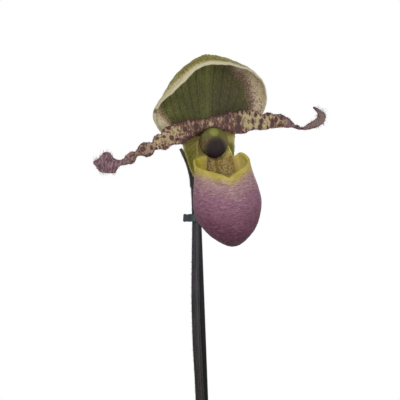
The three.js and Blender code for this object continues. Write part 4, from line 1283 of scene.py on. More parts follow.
def add_tie():
    """A soft strap round stalk and stake, with a knotted tab to the left."""
    near = STALK_LINE.at((TIE_Z - STALK_FOOT) / (STALK_HEAD - STALK_FOOT))
    ax, ay = near[0], near[1]
    bx, by, _ = lerp(STAKE_FOOT, STAKE_HEAD, (TIE_Z - STAKE_FOOT[2]) / (STAKE_HEAD[2] - STAKE_FOOT[2]))
    apart, axis = math.hypot(bx - ax, by - ay), math.atan2(by - ay, bx - ax)
    inner, wall, tall = STALK_RADIUS + 0.3, 0.8, 3.0
    path = []
    for centre, start in ((0, math.pi / 2), (apart, -math.pi / 2)):
        for turn in np.linspace(start, start + math.pi, 25):
            path.append(((centre, 0), (math.cos(turn), math.sin(turn))))
    section = []
    for turn in full_turn(20):
        out, up = (math.copysign(abs(way) ** 0.5, way) for way in (math.cos(turn), math.sin(turn)))
        section.append((0.5 * wall * out, 0.5 * tall * up))
    reach = inner + wall / 2
    rings = []
    for (cx, cy), (dx, dy) in path:
        rings.append([[cx + dx * (reach + a), cy + dy * (reach + a), b] for a, b in section])
    rings = turned(np.array(rings), axis, (0, 0, 1)) + np.array([ax, ay, TIE_Z])
    count, around = rings.shape[:2]
    faces = grid_faces(count, around, closed=True)
    band = Shape().add(rings, [[corner % (count * around) for corner in face] for face in faces])
    start = ax - inner - wall + 0.3
    tab_line = Line([[start + 0.6, ay, TIE_Z], [start - 0.9, ay, TIE_Z - 0.1], [start - 2.6, ay, TIE_Z]])
    tab_size = profile([
        [0, 1.6], [0.45, 1.5], [0.52, 1.4], [0.58, 1.4], [0.66, 1.55], [0.92, 1.55], [1, 1.2],
    ])

    def tab_radius(share, turn):
        c, s = np.abs(np.cos(turn)), np.abs(np.sin(turn))
        square = (c**5 + s**5) ** -0.2
        flat = 1 / np.sqrt((c / 1.0) ** 2 + (s / 0.55) ** 2)
        return tab_size(share) * square * flat

    tab = rod(tab_line, even(26), 32, tab_radius)
    joined = cut_with(make_mesh("tie_strap", band), [make_mesh("tie_tab", tab)], "UNION")
    joined.shade_smooth()
    add_piece("tie_strap", joined, "tie", ["stake_tie"])


# Bract
BRACT_HAIRS = 420


def add_bract():
    """A boat-shaped bract that clasps the stalk's last joint, with a keel, and hairs along its edges."""
    line = Line([[-7.1, 6.3, 323], [-7.4, 6.1, 328], [-8.6, 5.7, 332], [-12.6, 4.6, 338.2]])
    hug = STALK_RADIUS + 0.25
    radius = profile([[0, hug], [0.45, hug + 0.15], [0.7, 1.2], [1, 0.35]])
    shift = profile([[0, 0], [0.45, 0], [0.7, 0.1], [1, 0]])
    away = np.array([-0.72, 0.69, 0])

    def surface(u, v):
        ahead = line.ahead(u)
        out = unit(away - ahead * (ahead @ away)[..., None])
        side = np.cross(out, ahead)
        keel = 0.25 * bump(v, 0, 0.12) * smooth(u, 0.1, 0.4)
        reach = radius(u)[..., None]
        centre = line.at(u) + out * shift(u)[..., None]
        turn = 1.5 * v[..., None]
        return centre + side * reach * np.sin(turn) + out * (reach + keel[..., None]) * np.cos(turn)

    def thickness(u, v):
        return lerp(0.28, 0.5, smooth(u, 0, 0.5)) * (1 - 0.6 * np.abs(v) ** 8)

    body = make_mesh("stalk_bract", blade(surface, even(70), 40, thickness))
    add_piece("stalk_bract", body, "bract", ["bract"])
    draw = np.random.default_rng(41)
    u = draw.uniform(0.02, 1, BRACT_HAIRS)
    at_edge = draw.uniform(size=BRACT_HAIRS) < 0.6
    edge = 0.97 * np.sign(draw.uniform(-1, 1, BRACT_HAIRS))
    v = np.where(at_edge, edge, draw.uniform(-1, 1, BRACT_HAIRS))
    ways = facing_of(surface, u, v) + 0.3 * line.ahead(u) + 0.3 * draw.normal(size=(BRACT_HAIRS, 3))
    down = hairs(surface(u, v), ways, draw.uniform(0.5, 1.0, BRACT_HAIRS), 0.03, 42)
    add_piece("bract_hairs", make_mesh("bract_hairs", down), "dark_down")


# Flower, in its own frame: x to its side, -y forward, z up
HUB_Z = -2.7
HUB_INNER = 0.8
OVARY_HAIRS = 900
FRINGE_RADIUS = 0.028
FUZZ_RADIUS = 0.026


def add_flower_piece(name, shape, finish, stands_for=(), tones=None):
    """A piece shaped in the flower's own frame, where its spots stay, and then turned into place."""
    mesh = make_mesh(name, shape, tones)
    world = (in_world(shape.all_points()) * MM).astype(np.float32)
    mesh.vertices.foreach_set("co", world.ravel())
    mesh.update()
    add_piece(name, mesh, finish, stands_for)


def along_surface(surface, u, v):
    """Which way a surface runs along its length."""
    step = 0.004
    return unit(surface(np.minimum(u + step, 1), v) - surface(np.maximum(u - step, 0), v))


def round_line(line, share, turn, level):
    """Which way a line runs, and the way out from it at a turn that is counted from across level."""
    ahead = line.ahead(share)
    side = unit(np.cross(ahead, level))
    return ahead, np.cos(turn)[:, None] * side + np.sin(turn)[:, None] * np.cross(ahead, side)


def rim_hairs(surface, count, widest, spread, shortest, longest, seed):
    """Hairs along the far rim of a sepal."""
    draw = np.random.default_rng(seed)
    v = draw.uniform(-widest, widest, count)
    u = draw.uniform(0.985, 0.998, count)
    ways = unit(surface(u, v) - surface(u - 0.02, v))
    ways = ways + spread * draw.normal(size=ways.shape)
    return hairs(surface(u, v), ways, draw.uniform(shortest, longest, count), FRINGE_RADIUS, seed + 1)


def edge_hairs(surface, count, reach, radius, seed, from_u):
    """Hairs along both long edges of a blade. reach(u) is how long they are there."""
    draw = np.random.default_rng(seed)
    u = draw.uniform(from_u, 0.995, count)
    hand = np.where(draw.uniform(size=count) < 0.5, -1.0, 1.0)
    v = hand * draw.uniform(0.9, 0.99, count)
    out = unit(surface(u, v) - surface(u, v - hand * 0.02))
    facing = np.cross(out, along_surface(surface, u, v))
    stray = 0.6 * draw.normal(size=out.shape) + facing * draw.normal(size=(count, 1))
    lengths = reach(u) * draw.uniform(0.3, 1.2, count) ** 2
    return hairs(surface(u, v), out + 0.3 * stray, lengths, radius, seed + 1)


def edge_warts(surface, count, seed):
    """Small round warts along both long edges of a blade."""
    draw = np.random.default_rng(seed)
    u = draw.uniform(0.1, 0.98, count)
    v = np.where(draw.uniform(size=count) < 0.5, -0.97, 0.97)
    warts = Shape()
    for place, size in zip(surface(u, v), draw.uniform(0.16, 0.36, count)):
        points, faces = lump(draw, (size, size, size), power=1.0, rows=5, columns=8)
        warts.add(points + place, faces)
    return warts


def face_hairs(surface, count, length, seed, side):
    """Short hairs all over one side of a blade."""
    draw = np.random.default_rng(seed)
    u, v = np.sqrt(draw.uniform(0.01, 1, count)), draw.uniform(-0.97, 0.97, count)
    out = facing_of(surface, u, v) * side
    ways = out + 0.4 * along_surface(surface, u, v) + 0.3 * draw.normal(size=out.shape)
    lengths = length * draw.uniform(0.6, 1.2, count)
    return hairs(surface(u, v) + out * 0.25, ways, lengths, FUZZ_RADIUS, seed + 1)


def joined(*shapes):
    whole = Shape()
    for shape in shapes:
        whole.add(shape.all_points(), shape.faces, shape.all_places())
    return whole


def add_ovary():
    """The ribbed, hairy neck that joins the flower to its stalk."""
    base, bend, tip = (np.array(p, float) for p in ([0, 27.2, -15.2], [0, 13, -2.4], [0, 5.3, -2.75]))
    t = np.linspace(0, 1, 25)[:, None]
    neck = base * (1 - t) ** 2 + 2 * bend * t * (1 - t) + tip * t * t
    line = Line([[0, 29.2, -18.2], [0.1, 28.7, -16.2], *neck], steps=4)
    swell = profile([[0, 1.1], [0.05, 1.35], [0.12, 1.45], [0.6, 2.2], [1, 2.4]])

    def radius(share, turn):
        ribs = 0.1 * np.abs(np.cos(3 * turn)) ** 0.6 - 0.03
        return swell(share) * (1 + ribs) * np.where(share < 0.001, 0.8, 1)

    shape = rod(line, even(90), 60, radius)
    add_flower_piece("ribbed_ovary", shape, "ovary", ["ovary"])
    draw = np.random.default_rng(51)
    count = OVARY_HAIRS
    share, turn = draw.uniform(0.02, 0.96, count), draw.uniform(0, 2 * math.pi, count)
    _, out = round_line(line, share, turn, (1, 0, 0))
    roots = line.at(share) + out * (swell(share)[:, None] * 0.9)
    down = hairs(roots, out + 0.3 * draw.normal(size=out.shape), draw.uniform(0.5, 1.0, count), 0.03, 52)
    add_flower_piece("ovary_hairs", down, "dark_down")


def fan_surface(from_deg, to_deg, rib):
    """A sepal spread like a fan round the hub. rib(angle) gives four control points, out and back."""
    def surface(u, v):
        angle = lerp(from_deg, to_deg, (v + 1) / 2)
        shares = ((1 - u) ** 3, 3 * u * (1 - u) ** 2, 3 * u * u * (1 - u), u**3)
        controls = rib(angle)
        out = sum(share * control[0] for share, control in zip(shares, controls))
        back = sum(share * control[1] for share, control in zip(shares, controls))
        return xyz(out * np.sin(np.radians(angle)), back, HUB_Z + out * np.cos(np.radians(angle)))

    return surface


# The hood's outline at angles from straight up: how far out its crown and its rim are, and its rim's y
HOOD_LEFT_DEG, HOOD_RIGHT_DEG = -83, 82
HOOD_BACK = 3.4
HOOD_THICKNESS = 0.8
HOOD_CROWN = profile([
    [-83, 16.7], [-72, 20.6], [-62, 23.7], [-46, 24.4], [-33, 25.7], [-12, 28.6], [-4, 29.6], [4, 29.7],
    [22, 29], [46, 28.9], [60, 27.5], [72, 24.1], [82, 18.8],
])
HOOD_RIM = profile([
    [-83, 16.3], [-68, 21.2], [-58, 23.2], [-40, 22.7], [-28, 23.1], [-8, 25.7], [4, 25.8], [16, 26],
    [24, 26.3], [42, 27.7], [58, 27.4], [72, 24], [82, 18.6],
])
HOOD_RIM_Y = profile([
    [-83, 2], [-68, -0.4], [-50, -7], [-38, -11.2], [-20, -14.4], [0, -15.2], [20, -14.4], [46, -8.6],
    [64, -2.6], [82, 2.2],
])
# Where the cream margin starts inside, as a share of the way from the hub to the rim
HOOD_MARGIN = profile([
    [-83, 0.35], [-72, 0.46], [-66, 0.62], [-60, 0.8], [-56, 0.92], [-52, 1.02], [-46, 1.08], [22, 1.08],
    [27, 0.99], [37, 0.94], [45, 0.88], [52, 0.83], [59, 0.8], [66, 0.78], [82, 0.78],
])
# How far in from the rim the back turns from cream to olive, as a share of a rib, and how olive it gets
HOOD_CREAM = profile([
    [-83, 0.4], [-60, 0.25], [-46, 0.11], [-33, 0.075], [-12, 0.05], [0, 0.04], [40, 0.05], [82, 0.25],
])
HOOD_OLIVE = profile([[-83, 0.3], [-60, 0.25], [-46, 0.35], [-33, 0.65], [-18, 1], [60, 1], [82, 0.6]])


def hood_ribs(angle):
    crown, rim, rim_y = HOOD_CROWN(angle), HOOD_RIM(angle), HOOD_RIM_Y(angle)
    return (
        (HUB_INNER, HOOD_BACK),
        (0.62 * crown, HOOD_BACK + 1),
        (crown + 2.1 * (crown - rim), lerp(HOOD_BACK, rim_y, 0.42)),
        (rim, rim_y),
    )


def add_hood():
    """The upper sepal, a hood over the flower with fine pleats along its lines and a rough keel behind."""
    plain = fan_surface(HOOD_LEFT_DEG, HOOD_RIGHT_DEG, hood_ribs)

    def surface(u, v):
        points = plain(u, v)
        pleats = 0.07 * np.cos(20 * math.pi * v) * smooth(u, 0.05, 0.4) * (1 - smooth(u, 0.8, 1))
        edge = smooth(u, 0.8, 1) * (0.22 * np.sin(31 * v + 1) + 0.12 * np.sin(67 * v))
        out = unit(points - np.array([0, -4, HUB_Z]))
        return points + out * (pleats + edge * 0.5)[..., None]

    def thickness(u, v):
        keel = 0.35 * bump(v, 0.02, 0.035) * smooth(u, 0.1, 0.5) * (1 - smooth(u, 0.86, 0.96))
        teeth = 0.5 * bump(v, 0.03, 0.09) * smooth(u, 0.4, 0.6) * (1 - smooth(u, 0.85, 0.95))
        teeth = teeth * (0.5 + 0.5 * np.sin(200 * v + 2 * np.sin(31 * u)))
        rim = 1 - 0.45 * smooth(u, 0.93, 1)
        return (HOOD_THICKNESS + keel + teeth) * rim * (1 - 0.6 * np.abs(v) ** 30)

    shares = np.r_[np.linspace(0, 0.9, 70, endpoint=False), np.linspace(0.9, 1, 16)]
    shape = blade(surface, shares, 320, thickness)
    u, v, _ = shape.all_places().T
    angle = lerp(HOOD_LEFT_DEG, HOOD_RIGHT_DEG, (v + 1) / 2)
    points = shape.all_points()
    reach = np.hypot(points[:, 0], points[:, 2] - HUB_Z) / HOOD_RIM(angle)
    start = HOOD_MARGIN(angle)
    soft = lerp(0.3, 0.13, smooth(angle, -60, -48))
    margin = smooth(reach, start - soft, start + soft)
    cream = HOOD_CREAM(angle)
    crest = smooth(1 - u, 0.6 * cream, 1.5 * cream) * HOOD_OLIVE(angle)
    lines = angle * np.clip(reach, 0.05, 1) ** 0.6 / HOOD_LINE_DEG + 0.2
    add_flower_piece("hood_sepal", shape, "hood", ["dorsal_sepal"], xyz(margin, crest, lines))
    fringe = rim_hairs(surface, 700, widest=0.98, spread=0.5, shortest=0.3, longest=0.7, seed=61)
    fuzz = face_hairs(surface, 2600, length=0.5, seed=63, side=1)
    add_flower_piece("hood_down", joined(fringe, fuzz), "pale_down")


BIB_SPREAD_DEG = 99
BIB_BACK = 4.5
BIB_REACH = profile([
    [0, 26], [10, 23], [18, 19.5], [25, 17], [32, 15.3], [43, 13.2], [58, 11.3], [75, 10.5], [95, 10.6],
])


def bib_ribs(angle):
    reach = BIB_REACH(np.abs(angle - 180))
    return (
        (HUB_INNER, BIB_BACK),
        (0.4 * reach, BIB_BACK + 0.8),
        (0.75 * reach, BIB_BACK),
        (reach, BIB_BACK - 3.2),
    )


def add_bib():
    """The two lower sepals, grown together behind the pouch."""
    plain = fan_surface(180 - BIB_SPREAD_DEG, 180 + BIB_SPREAD_DEG, bib_ribs)

    def surface(u, v):
        points = plain(u, v)
        pleats = 0.08 * np.cos(22 * math.pi * v) * smooth(u, 0.1, 0.4) * (1 - smooth(u, 0.85, 1))
        wave = 0.25 * np.sin(23 * v) * smooth(u, 0.7, 1)
        return points + xyz(0, 1, 0) * (pleats + wave)[..., None]

    def thickness(u, v):
        rim = 1 - 0.5 * smooth(u, 0.93, 1)
        keels = 0.5 * (bump(v, -0.16, 0.03) + bump(v, 0.16, 0.03))
        keels = keels * smooth(u, 0.2, 0.6) * (1 - smooth(u, 0.85, 0.95))
        return (HOOD_THICKNESS + keels) * rim

    shape = blade(surface, even(60), 130, thickness)
    add_flower_piece("joined_sepals", shape, "bib", ["lower_sepals"])
    fringe = rim_hairs(surface, 380, widest=0.9, spread=0.4, shortest=0.3, longest=0.8, seed=71)
    fuzz = face_hairs(surface, 900, length=0.5, seed=73, side=1)
    add_flower_piece("sepal_down", joined(fringe, fuzz), "dark_down")


# Petals. Widths and twists are at shares of the length. Marks are as seen in the photograph, in pixels:
# how far across and down each is, and its half width and half height.
PETALS = {
    "left": dict(
        line=[
            [0.25, -0.4, 2], [-5.6, -1.6, 1.3], [-11.8, -2.2, -0.2], [-17.2, -2.6, -1.3],
            [-19.4, -2.9, -2.5], [-22.6, -2.9, -3.2], [-24.6, -3, -4.6], [-27.4, -2.9, -4.7],
            [-30.2, -2.8, -6.2], [-34.7, -2.5, -8.2], [-38.8, -2.1, -8.4], [-42.1, -1.5, -7.7],
            [-46, -0.8, -7.6],
        ],
        half_width=[
            [0, 2.1], [0.1, 3], [0.24, 4], [0.35, 3.7], [0.41, 3.1], [0.45, 3.4], [0.51, 2.4], [0.56, 3],
            [0.61, 2.2], [0.65, 1.8], [0.71, 2.4], [0.76, 1.7], [0.8, 1.5], [0.84, 2.5], [0.88, 3.7],
            [0.92, 3.7], [0.97, 1.6], [1, 0.3],
        ],
        upper_edge=[
            [206, 118.4], [198, 118.9], [191.3, 119.7], [185.8, 120.3], [180.2, 121.4], [175.8, 123.3],
            [171.3, 125.6], [168, 126.3], [164.7, 127.8], [162.4, 130], [161.9, 132.8], [160.2, 134.8],
            [158, 134.1], [154.7, 136.1], [153, 138.9], [153, 142.2], [151.3, 143.3], [148, 142.2],
            [143.6, 142.2], [140.2, 144.4], [137.4, 147.8], [136.3, 150.6], [134.7, 151.9], [131.9, 151.9],
            [128.9, 153.2], [126.6, 155.4], [124.7, 159], [121.3, 160.3], [116.9, 160], [113.3, 158],
            [111.3, 155.2], [109.5, 152.9], [105.8, 152.2], [103, 153.3], [100.8, 156.4], [97.5, 159.6],
            [94.5, 162],
        ],
        lower_edge=[
            [203, 130.5], [199.1, 133.3], [195.8, 135.6], [191.3, 138.3], [186.3, 141.1], [184.7, 143.3],
            [181.3, 143.9], [175.8, 144.4], [170.2, 145.6], [168.6, 148.3], [165.8, 149.8], [162.4, 149.2],
            [159.1, 149.2], [156, 149.4], [154.1, 150.6], [153, 153.9], [150.2, 156.3], [145.8, 157],
            [142.4, 155.6], [138, 155.9], [136.3, 157.8], [135, 161], [133, 163.2], [130.5, 164.2],
            [126.9, 163.3], [121.3, 165], [118, 167.2], [116.3, 170.6], [114.7, 173], [108, 172.8],
            [102.4, 172.6], [98, 171.1], [94.7, 166.7],
        ],
        edges_end=0.985,
        twist=[[0, 0], [0.6, 0], [0.65, 24], [0.69, 5], [0.74, -30], [0.79, -38], [0.84, 0], [1, 0]],
        marks=[
            [168.3, 127.9, 2.2, 2], [163.8, 130.4, 1, 1.2], [171.7, 137.9, 2.2, 2.2],
            [164.2, 136.7, 1.6, 1.7], [177.5, 139.3, 2.2, 1.5], [185, 129.6, 2.2, 2.8],
            [177.9, 130, 0.9, 1.2], [183.3, 123.5, 1.3, 1.8], [180.8, 134.2, 0.8, 0.8],
            [184.2, 133.8, 0.8, 0.8], [184.2, 140.8, 2.6, 2], [187.5, 137.6, 2.4, 1.6],
            [190.4, 132.5, 1.1, 1.1], [195.8, 126.7, 2.6, 4.2], [167, 132, 0.9, 0.8],
            [162.5, 145, 1.4, 1.2], [166.2, 147.1, 1.8, 1.3], [156.7, 144.6, 0.9, 0.9],
            [156.2, 148.3, 1.2, 1.1], [151.7, 148, 1.3, 2], [142.9, 149.2, 2.9, 2.7],
            [143.3, 144.6, 1.2, 0.9], [157.5, 138, 1.6, 1.2], [150, 154.2, 1.4, 1.5],
            [145.8, 155.4, 1.6, 1], [138.3, 148.3, 0.9, 1.6], [130.4, 156.7, 1, 1.6],
            [134.2, 155, 0.9, 1.4], [132.5, 161.7, 2, 1.2], [127.5, 158.3, 0.8, 1.4],
        ],
        streaky=[[0, 1], [0.2, 1], [0.28, 0.5], [0.5, 0.45], [0.6, 0.6], [0.76, 0.75], [1, 0.4]],
        tail=[[0, 0], [0.42, 0], [0.52, 0.16], [0.6, 0.28], [0.7, 0.42], [0.78, 0.6], [0.83, 1], [1, 1]],
        seed=81,
    ),
    "right": dict(
        line=[
            [0.3, -0.4, 2.1], [6.8, -1.6, 2], [12.2, -2.1, 1.2], [17.5, -2.6, 1.2], [21.1, -2.7, 0],
            [24.6, -2.9, 0.3], [29.4, -2.9, -0.9], [35, -2.9, -3.6], [38.6, -2.8, -3.9], [42.8, -2.3, -2.7],
            [44.6, -1.9, -1.6], [45.3, -1.5, -0.3], [44.9, -1.2, 1.1], [42.7, -0.8, 3.6],
        ],
        half_width=[
            [0, 2.2], [0.12, 3.2], [0.23, 4.5], [0.32, 4.1], [0.38, 3.4], [0.415, 2.8], [0.45, 3.2],
            [0.54, 2.7], [0.62, 1.35], [0.66, 0.7], [0.69, 0.5], [0.725, 0.45], [0.76, 0.9], [0.8, 1.2],
            [0.845, 1.5], [0.885, 1.65], [0.915, 1.35], [0.945, 0.75], [0.975, 0.4], [1, 0.12],
        ],
        upper_edge=[
            [206.7, 117.2], [213.3, 116.1], [220, 115.2], [226.7, 113.3], [231.1, 111.4], [237.8, 110.8],
            [244.4, 110.3], [248.9, 110], [254.4, 110.3], [257.8, 111.7], [260, 113.9], [262.2, 115.6],
            [264.4, 113.7], [266.7, 112.6], [271.1, 112.8], [273.3, 115], [275.6, 114.4], [280, 114.1],
            [283.3, 115], [286.7, 117.2], [290, 119.4], [292.8, 122.2],
        ],
        lower_edge=[
            [213, 127.5], [221, 130], [227.8, 131.9], [232.2, 133.3], [235.6, 133.9], [241.1, 133.9],
            [245.6, 133.3], [248.9, 131.1], [253.3, 129.7], [260, 130], [264.4, 129.7], [268.9, 128.9],
            [272.2, 128.1], [277.8, 127.6], [284.4, 127.2], [291.1, 127.2],
        ],
        edges_end=0.6,
        twist=[[0, 0], [0.58, 6], [0.64, 45], [0.69, 92], [0.74, 140], [0.79, 175], [1, 182]],
        marks=[
            [238.8, 120, 2.4, 5], [238.4, 128, 3.5, 4.4], [252.6, 121, 1.3, 3.2], [253.6, 128.2, 1.3, 1.5],
            [261.4, 121.4, 1.9, 3], [260, 126.8, 2.1, 3], [268.2, 114.3, 2.2, 1.8],
            [272.4, 122.8, 1.9, 4.4], [276, 119.6, 1.7, 3.2], [281.4, 117.9, 1.5, 2.6],
            [283.6, 115.7, 1.2, 1.2], [286.8, 116, 1.4, 1.5], [280, 125, 2.2, 1.2], [288.6, 118.6, 1, 1.6],
            [274.3, 115, 1, 1], [242, 111.6, 1.2, 1.6], [245.7, 110.7, 1.2, 1.6], [249.6, 113.6, 1.2, 2.2],
            [255.7, 114.6, 1.6, 2.4], [252.6, 110.7, 1, 1], [247, 112.8, 0.8, 1.6], [230.4, 116.4, 1, 2.4],
            [227, 120, 2, 5], [242.5, 132, 1.6, 1], [231.4, 124, 0.8, 0.8], [264.3, 117, 0.9, 2],
            [258.5, 112.5, 1, 1.6],
        ],
        streaky=[[0, 1], [0.2, 1], [0.27, 0.35], [0.38, 0.15], [0.5, 0.6], [1, 0.5]],
        tail=[[0, 0], [0.48, 0], [0.56, 0.25], [0.61, 0.65], [0.66, 1.25], [0.7, 1.3], [1, 1.3]],
        seed=85,
    ),
}
PETAL_CHANNEL = 0.4
PETAL_RIPPLE = 0.5
PETAL_WAVES = 8.5
PALE_FOOT = [210.9, 124.3, 2.6, 2.4]


def seen_width(line, edge):
    """A petal's width on one side by share of its length, from edge points seen in the photograph."""
    shares = np.linspace(0, 1, 700)
    across, down = in_photo(in_world(line.at(shares)))
    away = [np.hypot(across - x, down - y) for x, y in edge]
    seen = sorted((shares[a.argmin()], a.min() * PIXEL) for a in away)
    width = np.interp(shares, *np.array(seen).T)
    width = np.convolve(np.pad(width, 5, mode="edge"), np.ones(11) / 11, mode="valid")
    return lambda share: np.interp(share, shares, width)


def petal_surface(line, half_width, twist, upper_edge, lower_edge, edges_end):
    line, half_width, twist = Line(line), profile(half_width), profile(twist)
    hand = np.sign(line.points[-1, 0])
    upper, lower = seen_width(line, upper_edge), seen_width(line, lower_edge)

    def surface(u, v):
        centre, ahead = line.at(u), line.ahead(u)
        front = unit(np.array([0, -1.0, 0]) + ahead * ahead[..., 1:2])
        up = unit(np.cross(front, ahead)) * hand
        turn = np.radians(twist(u))[..., None]
        across = up * np.cos(turn) + front * np.sin(turn)
        face = front * np.cos(turn) - up * np.sin(turn)
        waves = smooth(u, 0.06, 0.25) * (1 - smooth(u, 0.9, 1))
        phase = 2 * math.pi * PETAL_WAVES * u + np.where(v > 0, 0, 2)
        lift = PETAL_RIPPLE * waves * np.sin(phase) * np.abs(v) ** 1.5 + PETAL_CHANNEL * (1 - v * v)
        beads = 0.35 * np.sin(2.9 * phase + 1.3) + 0.2 * np.sin(6.1 * phase)
        lift = lift + 0.4 * waves * beads * np.abs(v) ** 3
        seen = np.where(v > 0, upper(u), lower(u)) / np.maximum(np.abs(np.cos(turn[..., 0])), 0.6)
        width = lerp(seen, half_width(u), smooth(u, edges_end - 0.03, edges_end + 0.01))
        return centre + across * (width * v)[..., None] + face * lift[..., None]

    return surface


def mark_depth(points, marks):
    """How deep flower points lie in the nearest mark: 1 in its middle, 0.5 at its edge."""
    across, down = in_photo(in_world(points))
    depth = np.zeros(len(points))
    for x, y, wide, tall in marks:
        depth = np.maximum(depth, 1 - 0.5 * np.hypot((across - x) / wide, (down - y) / tall))
    return depth


def add_petal(name, marks, streaky, tail, seed, **form):
    """A waved, blotched ribbon that twists near its end, with warts and hairs along its edges."""
    surface = petal_surface(**form)
    hand = -1 if name == "left" else 1

    def thickness(u, v):
        return 0.75 * (1 - 0.65 * np.abs(v) ** 6) * (1 - 0.3 * smooth(u, 0.9, 1))

    shape = blade(surface, even(320), 26, thickness)
    for places in shape.places:
        places[:, 2] *= hand
    points = shape.all_points()
    u = shape.all_places()[:, 0]
    depth = mark_depth(points, marks)
    pale = smooth(mark_depth(points, [PALE_FOOT]), 0.3, 0.7)
    tones = xyz(depth * (1 - pale) - pale, profile(streaky)(u) * (1 - pale), profile(tail)(u))
    add_flower_piece(f"petal_{name}_blade", shape, "petal", [f"petal_{name}"], tones)
    reach = profile([[0, 0.3], [0.2, 0.5], [0.5, 0.7], [0.75, 0.8], [0.9, 1.6], [0.97, 2], [1, 3.2]])
    fringe = edge_hairs(surface, 900, reach, radius=0.04, seed=seed, from_u=0.12)
    fuzz = face_hairs(surface, 700, length=0.35, seed=seed + 4, side=hand)
    warts = edge_warts(surface, 150, seed + 8)
    add_flower_piece(f"petal_{name}_warts", warts, "warts")
    add_flower_piece(f"petal_{name}_hairs", joined(fringe, fuzz), "dark_down")


# Pouch
POUCH_WALL = 0.9
POUCH_MIDDLE_Y = -13.5
POUCH_TIP_Z = -45.3
LEFT_EAR_DROP = 0.7
LEFT_LOBE_RISE = 1.5
LEFT_LOBE_FOLD = 3.4
RIGHT_LOBE_FOLD = 0.9
TOE_LEAN = 0.5
POUCH_WIDTH = profile([
    [-45.3, 0.4], [-44.9, 2], [-43.7, 4.2], [-41.8, 6.6], [-40, 8.5], [-37, 10.6], [-33, 12.3], [-29, 12.9],
    [-24, 12.4], [-19, 11.3], [-15, 10.6], [-10, 10.5],
])
POUCH_FRONT = profile([
    [-45.3, 0.4], [-44.9, 1.9], [-43.7, 3.8], [-42, 5.8], [-38, 8.5], [-33, 10.3], [-28, 10.5], [-23, 9],
    [-19, 7.6], [-15, 7], [-10, 6.6],
])
POUCH_BACK = profile([
    [-45.3, 0.4], [-44.9, 1.8], [-43.7, 3.5], [-42, 5.2], [-38, 7.5], [-33, 9.4], [-28, 10.2], [-22, 9.8],
    [-17, 9.2], [-13, 9.8], [-9, 11.4], [-6, 12.8], [-3, 14],
])
# How high the rim is at each angle from the front: a notch, an ear, a dip, then a shoulder at the column
POUCH_RIM = profile([
    [0, -19.9], [12, -18.4], [30, -17.1], [48, -16], [62, -15.2], [74, -14.5], [84, -13.9], [94, -12.9],
    [104, -11.7], [114, -10.9], [124, -10.9], [133, -11.6], [141, -12], [146, -11], [151, -8], [156, -5],
    [161, -4.2], [166, -5.2], [172, -6.2], [180, -6.3],
])


def pouch_skin(u, turn_deg):
    """The pouch's outside. u runs 0 at the toe to 1 at the rim, and turn -180 to 180 from the front."""
    side = np.abs(turn_deg)
    hand = np.where(turn_deg < 0, -1, 1)
    climb = lerp(u * u, u, 0.25 + 0.5 * u)
    lobe = smooth(side, 122, 140) * (1 - smooth(side, 143, 149))
    drop = np.where(hand < 0, LEFT_EAR_DROP * bump(side, 104, 20) - LEFT_LOBE_RISE * lobe, 0)
    rim = POUCH_RIM(side) - drop
    z = lerp(POUCH_TIP_Z, rim, climb)
    turn = np.radians(side)
    ear = bump(side, 98, 24) * smooth(u, 0.7, 1)
    fold = lobe * smooth(u, 0.66, 1)
    squared = lerp(0.9, 0.62, smooth(side, 110, 150) * smooth(z, -24, -14))
    lobe_fold = np.where(hand < 0, LEFT_LOBE_FOLD, RIGHT_LOBE_FOLD)
    x = hand * (POUCH_WIDTH(z) * np.sin(turn) ** squared + 0.3 * ear - lobe_fold * fold)
    x = x + TOE_LEAN * smooth(-z, 32, 42) - 0.15 * (1 - smooth(-z, 20, 30)) * (hand > 0)
    depth = np.where(side < 90, -POUCH_FRONT(z), POUCH_BACK(z))
    y = POUCH_MIDDLE_Y + depth * np.abs(np.cos(turn)) ** 0.95 - 0.6 * ear - 1.4 * fold
    return xyz(x, y, z), rim - z


def pouch_lining(points, wall):
    x, y, z = np.moveaxis(points, -1, 0)
    depth = np.where(y < POUCH_MIDDLE_Y, POUCH_FRONT(z), POUCH_BACK(z))
    low = np.minimum(z + 29, 0) / 17**2
    out = unit(xyz(x / POUCH_WIDTH(z) ** 2, (y - POUCH_MIDDLE_Y) / depth**2, low))
    return points - out * wall[..., None]


